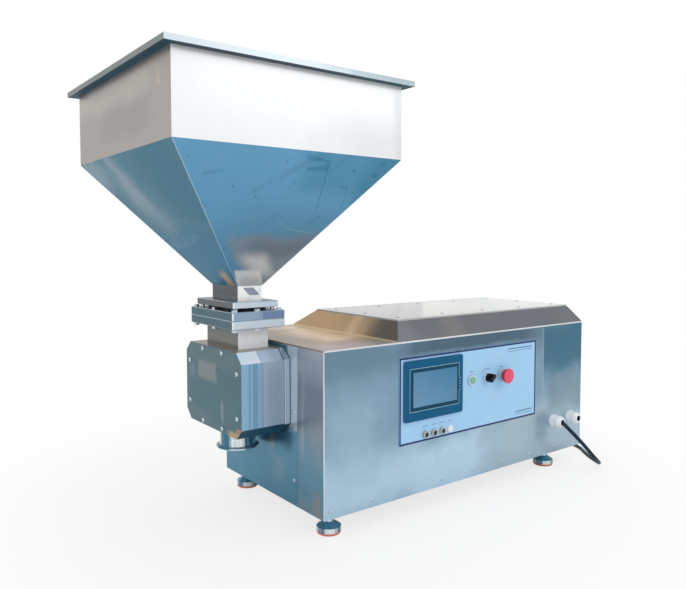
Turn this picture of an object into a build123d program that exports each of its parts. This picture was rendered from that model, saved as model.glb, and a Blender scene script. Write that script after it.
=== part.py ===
from build123d import *
import math
import os

# Paste filling machine: a low stainless housing on four levelling feet, with a
# block valve on its left end, a square hopper above the valve and a clamped
# outlet below it. A piston in the housing draws paste through the turning
# valve drum and pushes it out of the outlet.
#
# Sizes are millimetres. While the pieces are made, x = 0 is the left end of
# the housing, y = 0 its front face and z = 0 its underside. Every piece is then
# moved so that the origin is on the floor, under the middle of the machine.

# Housing
housing_length = 980.0
housing_depth = 466.0
housing_height = 385.0
sheet = 2.0
bend_radius = 3.0
wiring_depth = 106.5
end_plate_thickness = 16.0
tray_floor = 6.0
tray_wall = 3.0
tray_height = 32.0
panel_top_gap = 4.0

# Hood and clear lid on top of the housing
hood_start = 220.0
hood_rise = 45.0
hood_front_slope = 42.0
hood_back_slope = 70.0
hood_left_slope = 36.0
hood_right_slope = 18.0
hood_ledge_left = 56.0
hood_ledge_right = 37.0
hood_ledge_y = 64.0
lid_thickness = 4.0
lid_screw_inset_left = 40.0
lid_screw_inset_right = 18.0
lid_screw_inset_y = 44.0
lid_screw_columns = 5
lid_screw_rows = 3

# Screws
small_screw_radius = 2.0
small_head_radius = 4.2
small_head_height = 2.4
screw_play = 0.1
screw_row_height = 17.5
screw_edge = 19.0
screw_pitch = 118.0
end_screw_edge = 14.0
end_screw_low = 61.0
end_screw_high = 225.0
end_screw_depth = 11.0

# Levelling feet
foot_height = 48.0
foot_inset_left = 43.0
foot_inset_right = 129.0
foot_inset_y = 41.0
foot_radius = 29.0
foot_pad_height = 5.0
foot_pad_bevel = 3.0
foot_rim_height = 13.0
foot_rim_bevel = 1.0
foot_cone_height = 10.0
foot_neck_radius = 12.0
foot_nut_across = 24.0
foot_nut_height = 8.0
foot_stud_radius = 8.0
foot_stud_reach = 22.0
foot_boss_radius = 16.0
foot_boss_height = 12.0
running_play = 0.05

# Hopper, on the same vertical axis as the valve
hopper_x = -61.5
axis_forward = 0.25
hopper_width = 575.0
hopper_wall = 2.0
rim_reach = 22.5
rim_lip = 12.0
hopper_rise = 733.0
hopper_box_height = 183.0
throat_x = 65.0
throat_y = 132.0
throat_height = 35.0
base_plate_x = 122.0
base_plate_y = 195.0
base_plate_thickness = 15.5
seal_x = 100.0
seal_y = 170.0
seal_corner = 40.0
seal_height = 6.9
spacer_radius = 5.0
spacer_inset = 11.0

# Bolted flange pair and neck
flange_x = 142.0
flange_y = 224.0
flange_thickness = 20.3
flange_chamfer = 3.0
flange_edge = 1.2
flange_bolt_inset = 11.0
flange_bolt_radius = 4.0
flange_bolt_across = 13.0
flange_head_height = 5.3
flange_nut_height = 6.5
neck_x = 81.5
neck_y = 162.5
neck_height = 50.7

# Valve block and cover
valve_below_deck = 113.0
block_length = 130.0
valve_side_margin = 32.75
block_height = 200.8
block_chamfer = 24.5
block_band = 16.0
block_band_reach = 1.5
cover_thickness = 18.5
cover_bolt_radius = 4.0
cover_head_radius = 6.0
cover_head_height = 3.5
cover_head_edge = 1.2
cover_inner_y = 51.0
cover_inner_z = 91.0
cover_outer_inset_y = 21.0
cover_outer_z = 52.0
cover_bolt_depth = 12.0

# Turning drum of the valve and its gears
drum_radius = 75.0
drum_bore = 63.0
drum_front = 10.0
drum_window_half = 68.0
drum_window_floor = 33.0
sleeve_radius = 68.0
sleeve_reach = 44.0
end_play = 0.3
gear_module = 3.0
ring_teeth = 54
pinion_teeth = 18
gear_width = 18.0
gear_start = 22.0
gear_backlash = 0.3
pressure_angle = math.radians(20)
flank_steps = 4
pinion_shaft_radius = 6.0
pinion_shaft_depth = 13.0
pinion_hub_radius = 12.0
pinion_hub_length = 8.0

# Outlet: a ferrule for a 3.5 inch clamp
ferrule_pipe_radius = 44.45
ferrule_wall = 1.65
ferrule_flange_radius = 53.0
ferrule_flange_height = 2.85
ferrule_length = 52.5
ferrule_taper = 2.7

# Product cylinder, piston and thrust tube
cylinder_bore = 60.0
cylinder_wall = 5.0
cylinder_start = 34.0
cylinder_nose_play = 0.5
cylinder_tail = 36.0
piston_start = 50.0
piston_length = 30.0
piston_play = 0.2
piston_edge = 3.0
seal_groove = 4.0
seal_ring_width = 6.0
seal_ring_inset = 5.0
thrust_radius = 20.0
thrust_bore = 14.0
thrust_nose = 40.0

# Carriage, ball screw and servo motor
support_thickness = 16.0
front_support_start = 56.0
front_support_thickness = 12.0
support_half_width = 105.0
support_rise = 76.0
rod_radius = 10.0
rod_spread = 80.0
carriage_gap = 10.0
carriage_thickness = 20.0
carriage_half_width = 98.0
carriage_half_height = 35.0
carriage_corner = 8.0
rod_bush = 6.0
nut_flange_radius = 26.0
nut_flange_thickness = 10.0
nut_radius = 20.0
nut_length = 50.0
screw_radius = 12.5
screw_groove = 1.6
screw_lead = 20.0
screw_overlap = 4.0
journal_radius = 10.0
nut_end_room = 19.0
bearing_wall = 25.0
coupling_gap = 15.0
coupling_radius = 27.0
coupling_length = 50.0
coupling_slot = 3.0
coupling_slot_depth = 4.0
motor_gap = 26.0
motor_wall = 15.0
motor_wall_margin = 5.0
motor_room = 42.0
motor_shaft_radius = 9.5
motor_shaft_depth = 10.0
motor_spigot_radius = 25.0
motor_spigot = 4.0
motor_flange = 100.0
motor_flange_thickness = 12.0
motor_width = 88.0
motor_length = 133.0
motor_cap_width = 78.0
motor_cap_length = 45.0
motor_chamfer = 12.0
motor_socket = 22.0
motor_socket_inset = 4.0
gearbox_radius = 30.0
gearbox_length = 50.0
small_motor_radius = 27.0
small_motor_length = 70.0
small_motor_edge = 2.0

# Control panel and what is on it, measured from the panel's lower left corner
panel_start = 223.5
panel_length = 527.0
panel_below_deck = 39.5
panel_height = 216.0
panel_thickness = 2.0
panel_corner = 4.0
hmi_inset = 12.0
hmi_length = 204.0
hmi_rise = 56.5
hmi_height = 150.5
hmi_depth = 6.0
hmi_corner = 5.0
hmi_case_inset = 11.0
hmi_case_depth = 32.0
screen_inset = 28.5
screen_length = 154.5
screen_rise = 33.5
screen_height = 87.0
screen_recess = 1.5
screen_sink = 0.3
button_rise = 133.0
start_inset = 255.5
button_pitch = 61.0
bezel_radius = 14.5
bezel_depth = 6.0
bezel_edge = 1.5
bezel_neck_radius = 10.9
bezel_neck = 22.0
cap_radius = 10.0
cap_play = 0.1
cap_proud = 2.0
cap_edge = 1.2
button_travel = 3.0
button_stem_radius = 4.0
button_stem_tail = 3.0
knob_radius = 12.0
knob_base = 7.0
knob_proud = 11.0
knob_handle_width = 9.0
knob_handle_tip = 12.5
knob_handle_corner = 2.5
knob_angle = 45.0
collar_radius = 19.0
collar_depth = 10.0
collar_edge = 2.0
estop_radius = 20.0
estop_neck_radius = 17.0
estop_height = 13.0
estop_crown = 3.5
estop_rim = 4.5
estop_gap = 7.0
estop_socket = 6.0
estop_travel = 4.0
estop_stem_radius = 8.0
estop_stem_tail = 4.0
block_size_x = 30.0
block_size_z = 40.0
block_depth = 38.0
block_edge = 2.0
socket_rise = 16.5
socket_start = 86.5
socket_pitch = 29.5
socket_count = 3
socket_radius = 9.0
socket_depth = 7.0
socket_edge = 1.0
socket_sink = 1.5
socket_cap_depth = 4.0
socket_shank_radius = 7.5
socket_shank = 16.0
socket_insert_radius = 6.2

# Cable glands, measured from the right end of the housing
gland_insets = {"gland_power": 141.0, "gland_spare": 61.0}
gland_z = 97.0
gland_hex = 33.0
gland_hex_depth = 8.0
gland_radius = 17.0
gland_mouth_radius = 12.5
gland_dome = 8.0
gland_grooves = 18
gland_groove_radius = 0.9
gland_length = 35.0
gland_neck_radius = 12.0
gland_neck = 14.0
gland_nut_depth = 6.0
spare_bore = 7.0

# Wiring compartment: the panel, and devices on it from left to right
wiring_panel_thickness = 3.0
wiring_panel_gap = 15.0
device_edge = 2.0
rail_start = 285.0
rail_length = 260.0
rail_depth = 32.0
rail_low = 60.0
rail_height = 45.0
device_low = 160.0
device_height = 140.0
controller_inset = 325.0
controller_length = 115.0
controller_depth = 38.0
drive_inset = 190.0
drive_length = 60.0
drive_depth = 78.0
supply_inset = 108.0
supply_length = 60.0
supply_depth = 58.0

# Power cord
cord_radius = 5.5
coil_turn_radius = 64.0
coil_layers = 2
coil_inset = 85.0
coil_behind = 92.0
coil_edge = 0.8
plug_length = 44.0
plug_width = 34.0
plug_height = 26.0
plug_corner = 7.0
plug_nose = 20.0
plug_nose_radius = 7.5
plug_pin_radius = 2.4
plug_pin_length = 19.0
plug_pin_spread = 9.5

# Values that follow from the sizes above
floor_z = -foot_height
axis_y = (wiring_depth + housing_depth) / 2 - axis_forward
valve_z = housing_height - valve_below_deck
hopper_top = valve_z + hopper_rise
hood_top = housing_height + hood_rise
lid_top = hood_top + lid_thickness
panel_front = -panel_thickness
panel_low = housing_height - panel_below_deck - panel_height
hmi_start = panel_start + hmi_inset
hmi_low = panel_low + hmi_rise
screen_start = hmi_start + screen_inset
screen_low = hmi_low + screen_rise
button_z = panel_low + button_rise
start_x = panel_start + start_inset
selector_x = start_x + button_pitch
estop_x = selector_x + button_pitch
socket_z = panel_low + socket_rise
socket_cap_x = panel_start + socket_start + socket_count * socket_pitch
gland_places = {name: housing_length - inset for name, inset in gland_insets.items()}
block_width = housing_depth - wiring_depth - 2 * valve_side_margin
cover_outer_y = block_width / 2 - cover_outer_inset_y
block_low = valve_z - block_height / 2
block_top = valve_z + block_height / 2
flange_low = block_top + neck_height
flange_mid = flange_low + flange_thickness
flange_top = flange_mid + flange_thickness
plate_low = flange_top + seal_height
throat_low = plate_low + base_plate_thickness
cone_low = throat_low + throat_height
cone_top = hopper_top - hopper_box_height
ring_pitch_radius = gear_module * ring_teeth / 2
pinion_pitch_radius = gear_module * pinion_teeth / 2
pinion_z = valve_z - ring_pitch_radius - pinion_pitch_radius
cylinder_radius = cylinder_bore + cylinder_wall
motor_end = housing_length - sheet - motor_room
motor_face = motor_end - motor_cap_length - motor_length - motor_flange_thickness
motor_wall_start = motor_face - motor_wall
coupling_end = motor_wall_start - motor_gap
coupling_start = coupling_end - coupling_length
bearing_end = coupling_start - coupling_gap
bearing_start = bearing_end - bearing_wall
carriage_share = carriage_gap + carriage_thickness + nut_length + nut_end_room
stroke = (bearing_start - carriage_share - piston_start - piston_length - cylinder_tail) / 2
cylinder_end = piston_start + piston_length + stroke + cylinder_tail
carriage_start = cylinder_end + carriage_gap
nut_start = carriage_start + carriage_thickness
cord_z = floor_z + cord_radius
gland_mouth = -gland_length
coil_x = housing_length - coil_inset
coil_y = housing_depth + coil_behind

# The origin is under the middle of the machine, on the floor.
machine_left = hopper_x - hopper_width / 2 - rim_reach
machine_right = housing_length + small_head_height
machine_back = axis_y + hopper_width / 2 + rim_reach
origin = Vector((machine_left + machine_right) / 2, (gland_mouth + machine_back) / 2, floor_z)

# Route of the power cord from the gland to its coil behind the housing. Each
# place along X is counted from the housing's right end.
cord_places = [
    (-141, gland_mouth, gland_z),
    (-141, gland_mouth - 13, gland_z - 9),
    (-137, gland_mouth - 28, gland_z - 22),
    (-126, gland_mouth - 43, gland_z - 41),
    (-107, gland_mouth - 53, gland_z - 64),
    (-89, gland_mouth - 63, gland_z - 88),
    (-59, gland_mouth - 65, gland_z - 114),
    (-4, gland_mouth - 39, cord_z),
    (32, -14, cord_z),
    (60, 22, cord_z),
    (96, 64, cord_z),
    (118, 0.25 * coil_y, cord_z),
    (112, 0.42 * coil_y, cord_z),
    (98, 0.58 * coil_y, cord_z),
    (72, 0.71 * coil_y, cord_z),
    (34, 0.81 * coil_y, cord_z),
    (-22, coil_y - coil_turn_radius - 4, cord_z),
    (-coil_inset, coil_y - coil_turn_radius, cord_z),
]
cord_route = [(housing_length + x, y, z) for x, y, z in cord_places]


def block(x, y, z):
    """A box between low and high values on each axis."""
    spans = [high - low for low, high in (x, y, z)]
    middle = [(low + high) / 2 for low, high in (x, y, z)]
    return Pos(*middle) * Box(*spans)


def bar_x(start, end, y, z, radius):
    """A round bar along X."""
    return Pos((start + end) / 2, y, z) * Rot(0, 90, 0) * Cylinder(radius, end - start)


def bar_y(start, end, x, z, radius):
    """A round bar along Y."""
    return Pos(x, (start + end) / 2, z) * Rot(90, 0, 0) * Cylinder(radius, end - start)


def bar_z(start, end, x, y, radius):
    """A round bar along Z."""
    return Pos(x, y, (start + end) / 2) * Cylinder(radius, end - start)


def spun(face, axis):
    """A solid turned about an axis from a face drawn as (radius, distance along the axis)."""
    planes = {
        "x": Plane(origin=(0, 0, 0), x_dir=(0, 0, 1), z_dir=(0, 1, 0)),
        "y": Plane.XY,
        "z": Plane.XZ,
    }
    spins = {"x": Axis.X, "y": Axis.Y, "z": Axis.Z}
    return revolve(planes[axis] * face, spins[axis])


def turned(points, axis):
    """A solid turned about an axis from the corners of its outline."""
    return spun(make_face(Polyline(*points, close=True)), axis)


def hex_bar(start, end, x, y, across):
    """A hexagonal bar along Z."""
    shape = RegularPolygon(across / 2, 6, major_radius=False)
    return Pos(x, y, start) * extrude(shape, end - start)


def frustum(low_x, low_y, low_z, high_x, high_y, high_z, centre):
    """A four-sided taper between two rectangles centred on one vertical line."""
    low = Pos(centre[0], centre[1], low_z) * Rectangle(low_x, low_y)
    high = Pos(centre[0], centre[1], high_z) * Rectangle(high_x, high_y)
    return loft([low, high])


def save(name, *solids):
    """Write one node, moved into the machine's own frame."""
    moved = [Pos(*(-origin)) * solid for solid in solids]
    shape = moved[0] if len(moved) == 1 else Compound(label=name, children=moved)
    export_step(shape, os.path.join("parts", name + ".step"))


# Places of the screws and feet

def front_screw_places():
    count = int((housing_length - 2 * screw_edge + sheet) // screw_pitch) + 1
    return [screw_edge + index * screw_pitch for index in range(count)]


def foot_places():
    left = foot_inset_left
    right = housing_length - foot_inset_right
    back = housing_depth - foot_inset_y
    return {
        "foot_front_left": (left, foot_inset_y),
        "foot_front_right": (right, foot_inset_y),
        "foot_back_left": (left, back),
        "foot_back_right": (right, back),
    }


def lid_span():
    x = (hood_start + hood_left_slope, housing_length - hood_right_slope)
    y = (hood_front_slope, housing_depth - hood_back_slope)
    return x, y


def lid_screw_places():
    x, y = lid_span()
    step_x = (x[1] - x[0] - lid_screw_inset_left - lid_screw_inset_right) / (lid_screw_columns - 1)
    step_y = (y[1] - y[0] - 2 * lid_screw_inset_y) / (lid_screw_rows - 1)
    places = []
    for row in range(lid_screw_rows):
        for column in range(lid_screw_columns):
            inner = 0 < row < lid_screw_rows - 1 and 0 < column < lid_screw_columns - 1
            if not inner:
                places.append((x[0] + lid_screw_inset_left + column * step_x,
                               y[0] + lid_screw_inset_y + row * step_y))
    return places


def end_screw_places():
    ys = (wiring_depth + end_screw_edge, housing_depth - end_screw_edge)
    return [(y, z) for y in ys for z in (end_screw_low, end_screw_high)]


def back_screw_places():
    low = end_plate_thickness + screw_edge
    count = int((housing_length - end_plate_thickness - 2 * screw_edge) // screw_pitch) + 1
    return [low + index * screw_pitch for index in range(count)]


def right_screw_places():
    return [screw_edge + sheet, housing_depth / 2, housing_depth - screw_edge - sheet]


def screw_along_y(x, z, face, outward):
    head = bar_y(*sorted((face, face + outward * small_head_height)), x, z, small_head_radius)
    shank_end = face - outward * (sheet + tray_wall)
    return head + bar_y(*sorted((face, shank_end)), x, z, small_screw_radius)


def screw_hole_along_y(x, z, face, outward):
    end = face - outward * (sheet + tray_wall + 1)
    return bar_y(*sorted((face, end)), x, z, small_screw_radius + screw_play)


# Housing

def base_tray():
    x = (end_plate_thickness, housing_length - sheet)
    y = (sheet, housing_depth - sheet)
    tray = block(x, y, (0, tray_height))
    inside_x = (x[0] + tray_wall, x[1] - tray_wall)
    inside_y = (y[0] + tray_wall, y[1] - tray_wall)
    tray -= block(inside_x, inside_y, (tray_floor, tray_height))
    for x_foot, y_foot in foot_places().values():
        tray += bar_z(tray_floor, tray_floor + foot_boss_height, x_foot, y_foot, foot_boss_radius)
    for x_foot, y_foot in foot_places().values():
        hole = foot_stud_radius + running_play
        tray -= bar_z(0, tray_floor + foot_boss_height, x_foot, y_foot, hole)
    for x_screw in front_screw_places():
        if x_screw > end_plate_thickness:
            tray -= screw_hole_along_y(x_screw, screw_row_height, 0, -1)
    for x_screw in back_screw_places():
        tray -= screw_hole_along_y(x_screw, screw_row_height, housing_depth, 1)
    for y_screw in right_screw_places():
        end = housing_length - sheet - tray_wall - 1
        tray -= bar_x(end, housing_length, y_screw, screw_row_height, small_screw_radius + screw_play)
    return tray


def end_plate():
    y = (wiring_depth, housing_depth)
    plate = block((0, end_plate_thickness), y, (0, housing_height - panel_top_gap))
    plate -= bar_x(0, end_plate_thickness, axis_y, valve_z, sleeve_radius + running_play)
    for y_screw, z_screw in end_screw_places():
        plate -= bar_x(0, end_screw_depth, y_screw, z_screw, small_screw_radius + screw_play)
    return plate


def socket_places():
    return [panel_start + socket_start + index * socket_pitch for index in range(socket_count)]


def hmi_case():
    x = (hmi_start + hmi_case_inset, hmi_start + hmi_length - hmi_case_inset)
    z = (hmi_low + hmi_case_inset, hmi_low + hmi_height - hmi_case_inset)
    return block(x, (panel_front, hmi_case_depth), z)


def panel_cutouts():
    """What passes through both the control panel and the front sheet."""
    tools = [hmi_case()]
    for x_button in (start_x, selector_x, estop_x):
        tools.append(bar_y(panel_front, sheet, x_button, button_z, bezel_neck_radius + screw_play))
    for x_socket in socket_places() + [socket_cap_x]:
        tools.append(bar_y(panel_front, sheet, x_socket, socket_z, socket_shank_radius + screw_play))
    return tools


def front_panel():
    z = (0, housing_height - panel_top_gap)
    face = block((0, housing_length), (0, wiring_depth), z)
    edge = face.edges().filter_by(Axis.Z).sort_by_distance(Vector(0, 0, 0))[0]
    face = fillet(edge, bend_radius)
    panel = face - block((sheet, housing_length), (sheet, wiring_depth), z)
    for tool in panel_cutouts():
        panel -= tool
    for x_gland in gland_places.values():
        panel -= bar_y(0, sheet, x_gland, gland_z, gland_neck_radius + screw_play)
    for x_screw in front_screw_places():
        panel -= screw_hole_along_y(x_screw, screw_row_height, 0, -1)
    return panel


def rear_panel():
    x = (end_plate_thickness, housing_length - sheet)
    panel = block(x, (housing_depth - sheet, housing_depth), (0, housing_height - panel_top_gap))
    for x_screw in back_screw_places():
        panel -= screw_hole_along_y(x_screw, screw_row_height, housing_depth, 1)
    return panel


def right_end_panel():
    x = (housing_length - sheet, housing_length)
    y = (sheet, housing_depth)
    panel = block(x, y, (0, housing_height - panel_top_gap))
    for y_screw in right_screw_places():
        panel -= bar_x(*x, y_screw, screw_row_height, small_screw_radius + screw_play)
    return panel


def deck_plate():
    z = (housing_height - panel_top_gap, housing_height)
    return block((0, hood_start), (0, housing_depth), z)


def level_rectangle(x, y, z, inset=0.0):
    """A rectangle between low and high values of x and y, at one height."""
    face = Rectangle(x[1] - x[0] - 2 * inset, y[1] - y[0] - 2 * inset)
    return Pos(sum(x) / 2, sum(y) / 2, z) * face


def top_hood():
    """The folded hood: four slopes up to a flat ledge, open in the middle."""
    low = housing_height - panel_top_gap
    foot_x = (hood_start, housing_length)
    foot_y = (0, housing_depth)
    lid_x, lid_y = lid_span()
    foot = block(foot_x, foot_y, (low, housing_height))
    outside = [level_rectangle(foot_x, foot_y, housing_height), level_rectangle(lid_x, lid_y, hood_top)]
    inside = [level_rectangle(foot_x, foot_y, low, panel_top_gap),
              level_rectangle(lid_x, lid_y, hood_top - sheet, panel_top_gap)]
    hood = foot + loft(outside) - loft(inside)
    opening_x = (lid_x[0] + hood_ledge_left, lid_x[1] - hood_ledge_right)
    opening_y = (lid_y[0] + hood_ledge_y, lid_y[1] - hood_ledge_y)
    hood -= block(opening_x, opening_y, (low, hood_top))
    for x_screw, y_screw in lid_screw_places():
        radius = small_screw_radius + screw_play
        hood -= bar_z(hood_top - sheet, hood_top, x_screw, y_screw, radius)
    return hood


def lid():
    lid_x, lid_y = lid_span()
    plate = block(lid_x, lid_y, (hood_top, lid_top))
    plate = fillet(plate.edges().filter_by(Axis.Z), panel_corner)
    for x_screw, y_screw in lid_screw_places():
        plate -= bar_z(hood_top, lid_top, x_screw, y_screw, small_screw_radius + screw_play)
    return plate


def lid_screws():
    screws = []
    for x_screw, y_screw in lid_screw_places():
        head = bar_z(lid_top, lid_top + small_head_height, x_screw, y_screw, small_head_radius)
        shank = bar_z(hood_top - sheet, lid_top, x_screw, y_screw, small_screw_radius)
        screws.append(head + shank)
    return screws


def housing_screws():
    screws = []
    for x_screw in front_screw_places():
        screws.append(screw_along_y(x_screw, screw_row_height, 0, -1))
    for x_screw in back_screw_places():
        screws.append(screw_along_y(x_screw, screw_row_height, housing_depth, 1))
    for y_screw in right_screw_places():
        head = bar_x(housing_length, housing_length + small_head_height, y_screw,
                     screw_row_height, small_head_radius)
        shank = bar_x(housing_length - sheet - tray_wall, housing_length, y_screw,
                      screw_row_height, small_screw_radius)
        screws.append(head + shank)
    for y_screw, z_screw in end_screw_places():
        head = bar_x(-small_head_height, 0, y_screw, z_screw, small_head_radius)
        shank = bar_x(0, end_screw_depth - 1, y_screw, z_screw, small_screw_radius)
        screws.append(head + shank)
    return screws


def levelling_foot(x, y):
    """A turned steel foot with its stud and nut, and the rubber pad under it."""
    pad_top = floor_z + foot_pad_height
    rim_top = pad_top + foot_rim_height
    cone_top_z = rim_top + foot_cone_height
    nut_low = -end_play - foot_nut_height
    outline = [
        (0, pad_top), (foot_radius, pad_top), (foot_radius, rim_top - foot_rim_bevel),
        (foot_radius - foot_rim_bevel, rim_top), (foot_neck_radius, cone_top_z),
        (foot_neck_radius, nut_low), (0, nut_low),
    ]
    cone = Pos(x, y, 0) * turned(outline, "z")
    nut = hex_bar(nut_low, -end_play, x, y, foot_nut_across)
    stud = bar_z(nut_low, foot_stud_reach, x, y, foot_stud_radius)
    pad_outline = [
        (0, floor_z), (foot_radius - foot_pad_bevel, floor_z), (foot_radius, floor_z + foot_pad_bevel),
        (foot_radius, pad_top), (0, pad_top),
    ]
    pad = Pos(x, y, 0) * turned(pad_outline, "z")
    return cone + nut + stud, pad


# Hopper and flanges

def hopper_bin():
    half = hopper_width / 2
    x = (hopper_x - half, hopper_x + half)
    y = (axis_y - half, axis_y + half)
    walls = block(x, y, (cone_top, hopper_top))
    lip_x = (x[0] - rim_reach, x[1] + rim_reach)
    lip_y = (y[0] - rim_reach, y[1] + rim_reach)
    rim = block(lip_x, lip_y, (hopper_top - rim_lip, hopper_top))
    under_x = (lip_x[0] + hopper_wall, lip_x[1] - hopper_wall)
    under_y = (lip_y[0] + hopper_wall, lip_y[1] - hopper_wall)
    rim -= block(under_x, under_y, (hopper_top - rim_lip, hopper_top - hopper_wall))
    inside_x = (x[0] + hopper_wall, x[1] - hopper_wall)
    inside_y = (y[0] + hopper_wall, y[1] - hopper_wall)
    return walls + rim - block(inside_x, inside_y, (cone_top, hopper_top))


def wall_across(run, rise):
    """Level thickness of a sloping wall."""
    return hopper_wall * math.hypot(run, rise) / rise


def hopper_cone():
    centre = (hopper_x, axis_y)
    rise = cone_top - cone_low
    across_x = 2 * wall_across((hopper_width - throat_x) / 2, rise)
    across_y = 2 * wall_across((hopper_width - throat_y) / 2, rise)
    inner_x = throat_x - 2 * hopper_wall
    inner_y = throat_y - 2 * hopper_wall
    outer = frustum(throat_x, throat_y, cone_low, hopper_width, hopper_width, cone_top, centre)
    inner = frustum(inner_x, inner_y, cone_low, hopper_width - across_x,
                    hopper_width - across_y, cone_top, centre)
    throat = frustum(throat_x, throat_y, throat_low, throat_x, throat_y, cone_low, centre)
    bore = frustum(inner_x, inner_y, throat_low, inner_x, inner_y, cone_low, centre)
    return (outer - inner) + (throat - bore)


def passage(low, high, inset=0.0):
    """The rectangular way that the paste takes down to the valve."""
    x = (hopper_x - throat_x / 2 + inset, hopper_x + throat_x / 2 - inset)
    y = (axis_y - throat_y / 2 + inset, axis_y + throat_y / 2 - inset)
    return block(x, y, (low, high))


def bevelled_plate(length, width, low, high):
    """A plate under the hopper, with its corners and its upper and lower rims bevelled."""
    x = (hopper_x - length / 2, hopper_x + length / 2)
    y = (axis_y - width / 2, axis_y + width / 2)
    plate = block(x, y, (low, high))
    plate = chamfer(plate.edges().filter_by(Axis.Z), flange_chamfer)
    return chamfer(plate.faces().filter_by(Axis.Z).edges(), flange_edge)


def hopper_base_plate():
    plate = bevelled_plate(base_plate_x, base_plate_y, plate_low, throat_low)
    return plate - passage(plate_low, throat_low, hopper_wall)


def hopper_seal():
    shape = RectangleRounded(seal_x, seal_y, seal_corner)
    ring = Pos(hopper_x, axis_y, flange_top) * extrude(shape, seal_height)
    return ring - passage(flange_top, plate_low)


def flange_bolt_places():
    half_x = flange_x / 2 - flange_bolt_inset
    half_y = flange_y / 2 - flange_bolt_inset
    places = []
    for step_x in (-1, 0, 1):
        for step_y in (-1, 0, 1):
            if step_x or step_y:
                places.append((hopper_x + step_x * half_x, axis_y + step_y * half_y))
    return places


def flange(low):
    plate = bevelled_plate(flange_x, flange_y, low, low + flange_thickness)
    plate -= passage(low, low + flange_thickness)
    for x_bolt, y_bolt in flange_bolt_places():
        radius = flange_bolt_radius + screw_play
        plate -= bar_z(low, low + flange_thickness, x_bolt, y_bolt, radius)
    return plate


def flange_upper():
    plate = flange(flange_mid)
    half_x = base_plate_x / 2 - spacer_inset
    half_y = base_plate_y / 2 - spacer_inset
    for side_x in (-1, 1):
        for side_y in (-1, 1):
            x = hopper_x + side_x * half_x
            y = axis_y + side_y * half_y
            plate += bar_z(flange_top, plate_low, x, y, spacer_radius)
    return plate


def flange_bolts():
    pieces = []
    nut_low = flange_low - flange_nut_height
    for x, y in flange_bolt_places():
        head = hex_bar(flange_top, flange_top + flange_head_height, x, y, flange_bolt_across)
        pieces.append(head + bar_z(nut_low - 1, flange_top, x, y, flange_bolt_radius))
        nut = hex_bar(nut_low, flange_low, x, y, flange_bolt_across)
        nut -= bar_z(nut_low, flange_low, x, y, flange_bolt_radius + screw_play / 2)
        pieces.append(nut)
    return pieces


def valve_neck():
    x = (hopper_x - neck_x / 2, hopper_x + neck_x / 2)
    y = (axis_y - neck_y / 2, axis_y + neck_y / 2)
    return block(x, y, (block_top, flange_low)) - passage(block_top, flange_low)


# Valve block, cover, drum and gears

def chamfered_block(start, end, reach=0.0):
    """The eight-sided outline of the valve, extruded along X."""
    half_y = block_width / 2 + reach
    half_z = block_height / 2 + reach
    solid = block((start, end), (axis_y - half_y, axis_y + half_y), (valve_z - half_z, valve_z + half_z))
    return chamfer(solid.edges().filter_by(Axis.X), block_chamfer)


def cover_bolt_places():
    places = []
    for side_y in (-1, 1):
        for side_z in (-1, 1):
            places.append((axis_y + side_y * cover_inner_y, valve_z + side_z * cover_inner_z))
            places.append((axis_y + side_y * cover_outer_y, valve_z + side_z * cover_outer_z))
    return places


def valve_body():
    start = -block_length + cover_thickness
    body = chamfered_block(start, 0) + chamfered_block(-block_band, 0, block_band_reach)
    body -= bar_x(start, 0, axis_y, valve_z, drum_radius + running_play)
    body -= passage(valve_z, block_top + block_band_reach)
    body -= bar_z(block_low - block_band_reach, valve_z, hopper_x, axis_y,
                  ferrule_pipe_radius - ferrule_wall)
    for y, z in cover_bolt_places():
        body -= bar_x(start, start + cover_bolt_depth, y, z, cover_bolt_radius + screw_play)
    return body


def valve_cover():
    start = -block_length
    cover = chamfered_block(start, start + cover_thickness)
    for y, z in cover_bolt_places():
        cover -= bar_x(start, start + cover_thickness, y, z, cover_bolt_radius + screw_play)
    return cover


def cover_screws():
    screws = []
    start = -block_length
    for y, z in cover_bolt_places():
        head = bar_x(start - cover_head_height, start, y, z, cover_head_radius)
        head = chamfer(head.faces().sort_by(Axis.X)[0].edges(), cover_head_edge)
        end = start + cover_thickness + cover_bolt_depth - 1
        screws.append(head + bar_x(start, end, y, z, cover_bolt_radius))
    return screws


def outlet_ferrule():
    bottom = block_low - ferrule_length
    inner = ferrule_pipe_radius - ferrule_wall
    flange_top_z = bottom + ferrule_flange_height
    outline = [
        (inner, bottom), (ferrule_flange_radius, bottom), (ferrule_flange_radius, flange_top_z),
        (ferrule_pipe_radius, flange_top_z + ferrule_taper), (ferrule_pipe_radius, block_low),
        (inner, block_low),
    ]
    return Pos(hopper_x, axis_y, 0) * turned(outline, "z")


def valve_drum():
    """A hollow drum with one window in its side, open towards the cylinder."""
    front = -block_length + cover_thickness + end_play
    drum = bar_x(front, -end_play, axis_y, valve_z, drum_radius)
    drum += bar_x(-end_play, sleeve_reach, axis_y, valve_z, sleeve_radius)
    drum -= bar_x(front + drum_front, sleeve_reach, axis_y, valve_z, drum_bore)
    x = (hopper_x - throat_x / 2, hopper_x + throat_x / 2)
    y = (axis_y - drum_window_half, axis_y + drum_window_half)
    return drum - block(x, y, (valve_z + drum_window_floor, valve_z + drum_radius + 1))


def involute(radius, base_radius):
    """Involute angle at a radius, for a base circle."""
    ratio = math.sqrt(max((radius / base_radius) ** 2 - 1, 0))
    return ratio - math.atan(ratio)


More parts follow.
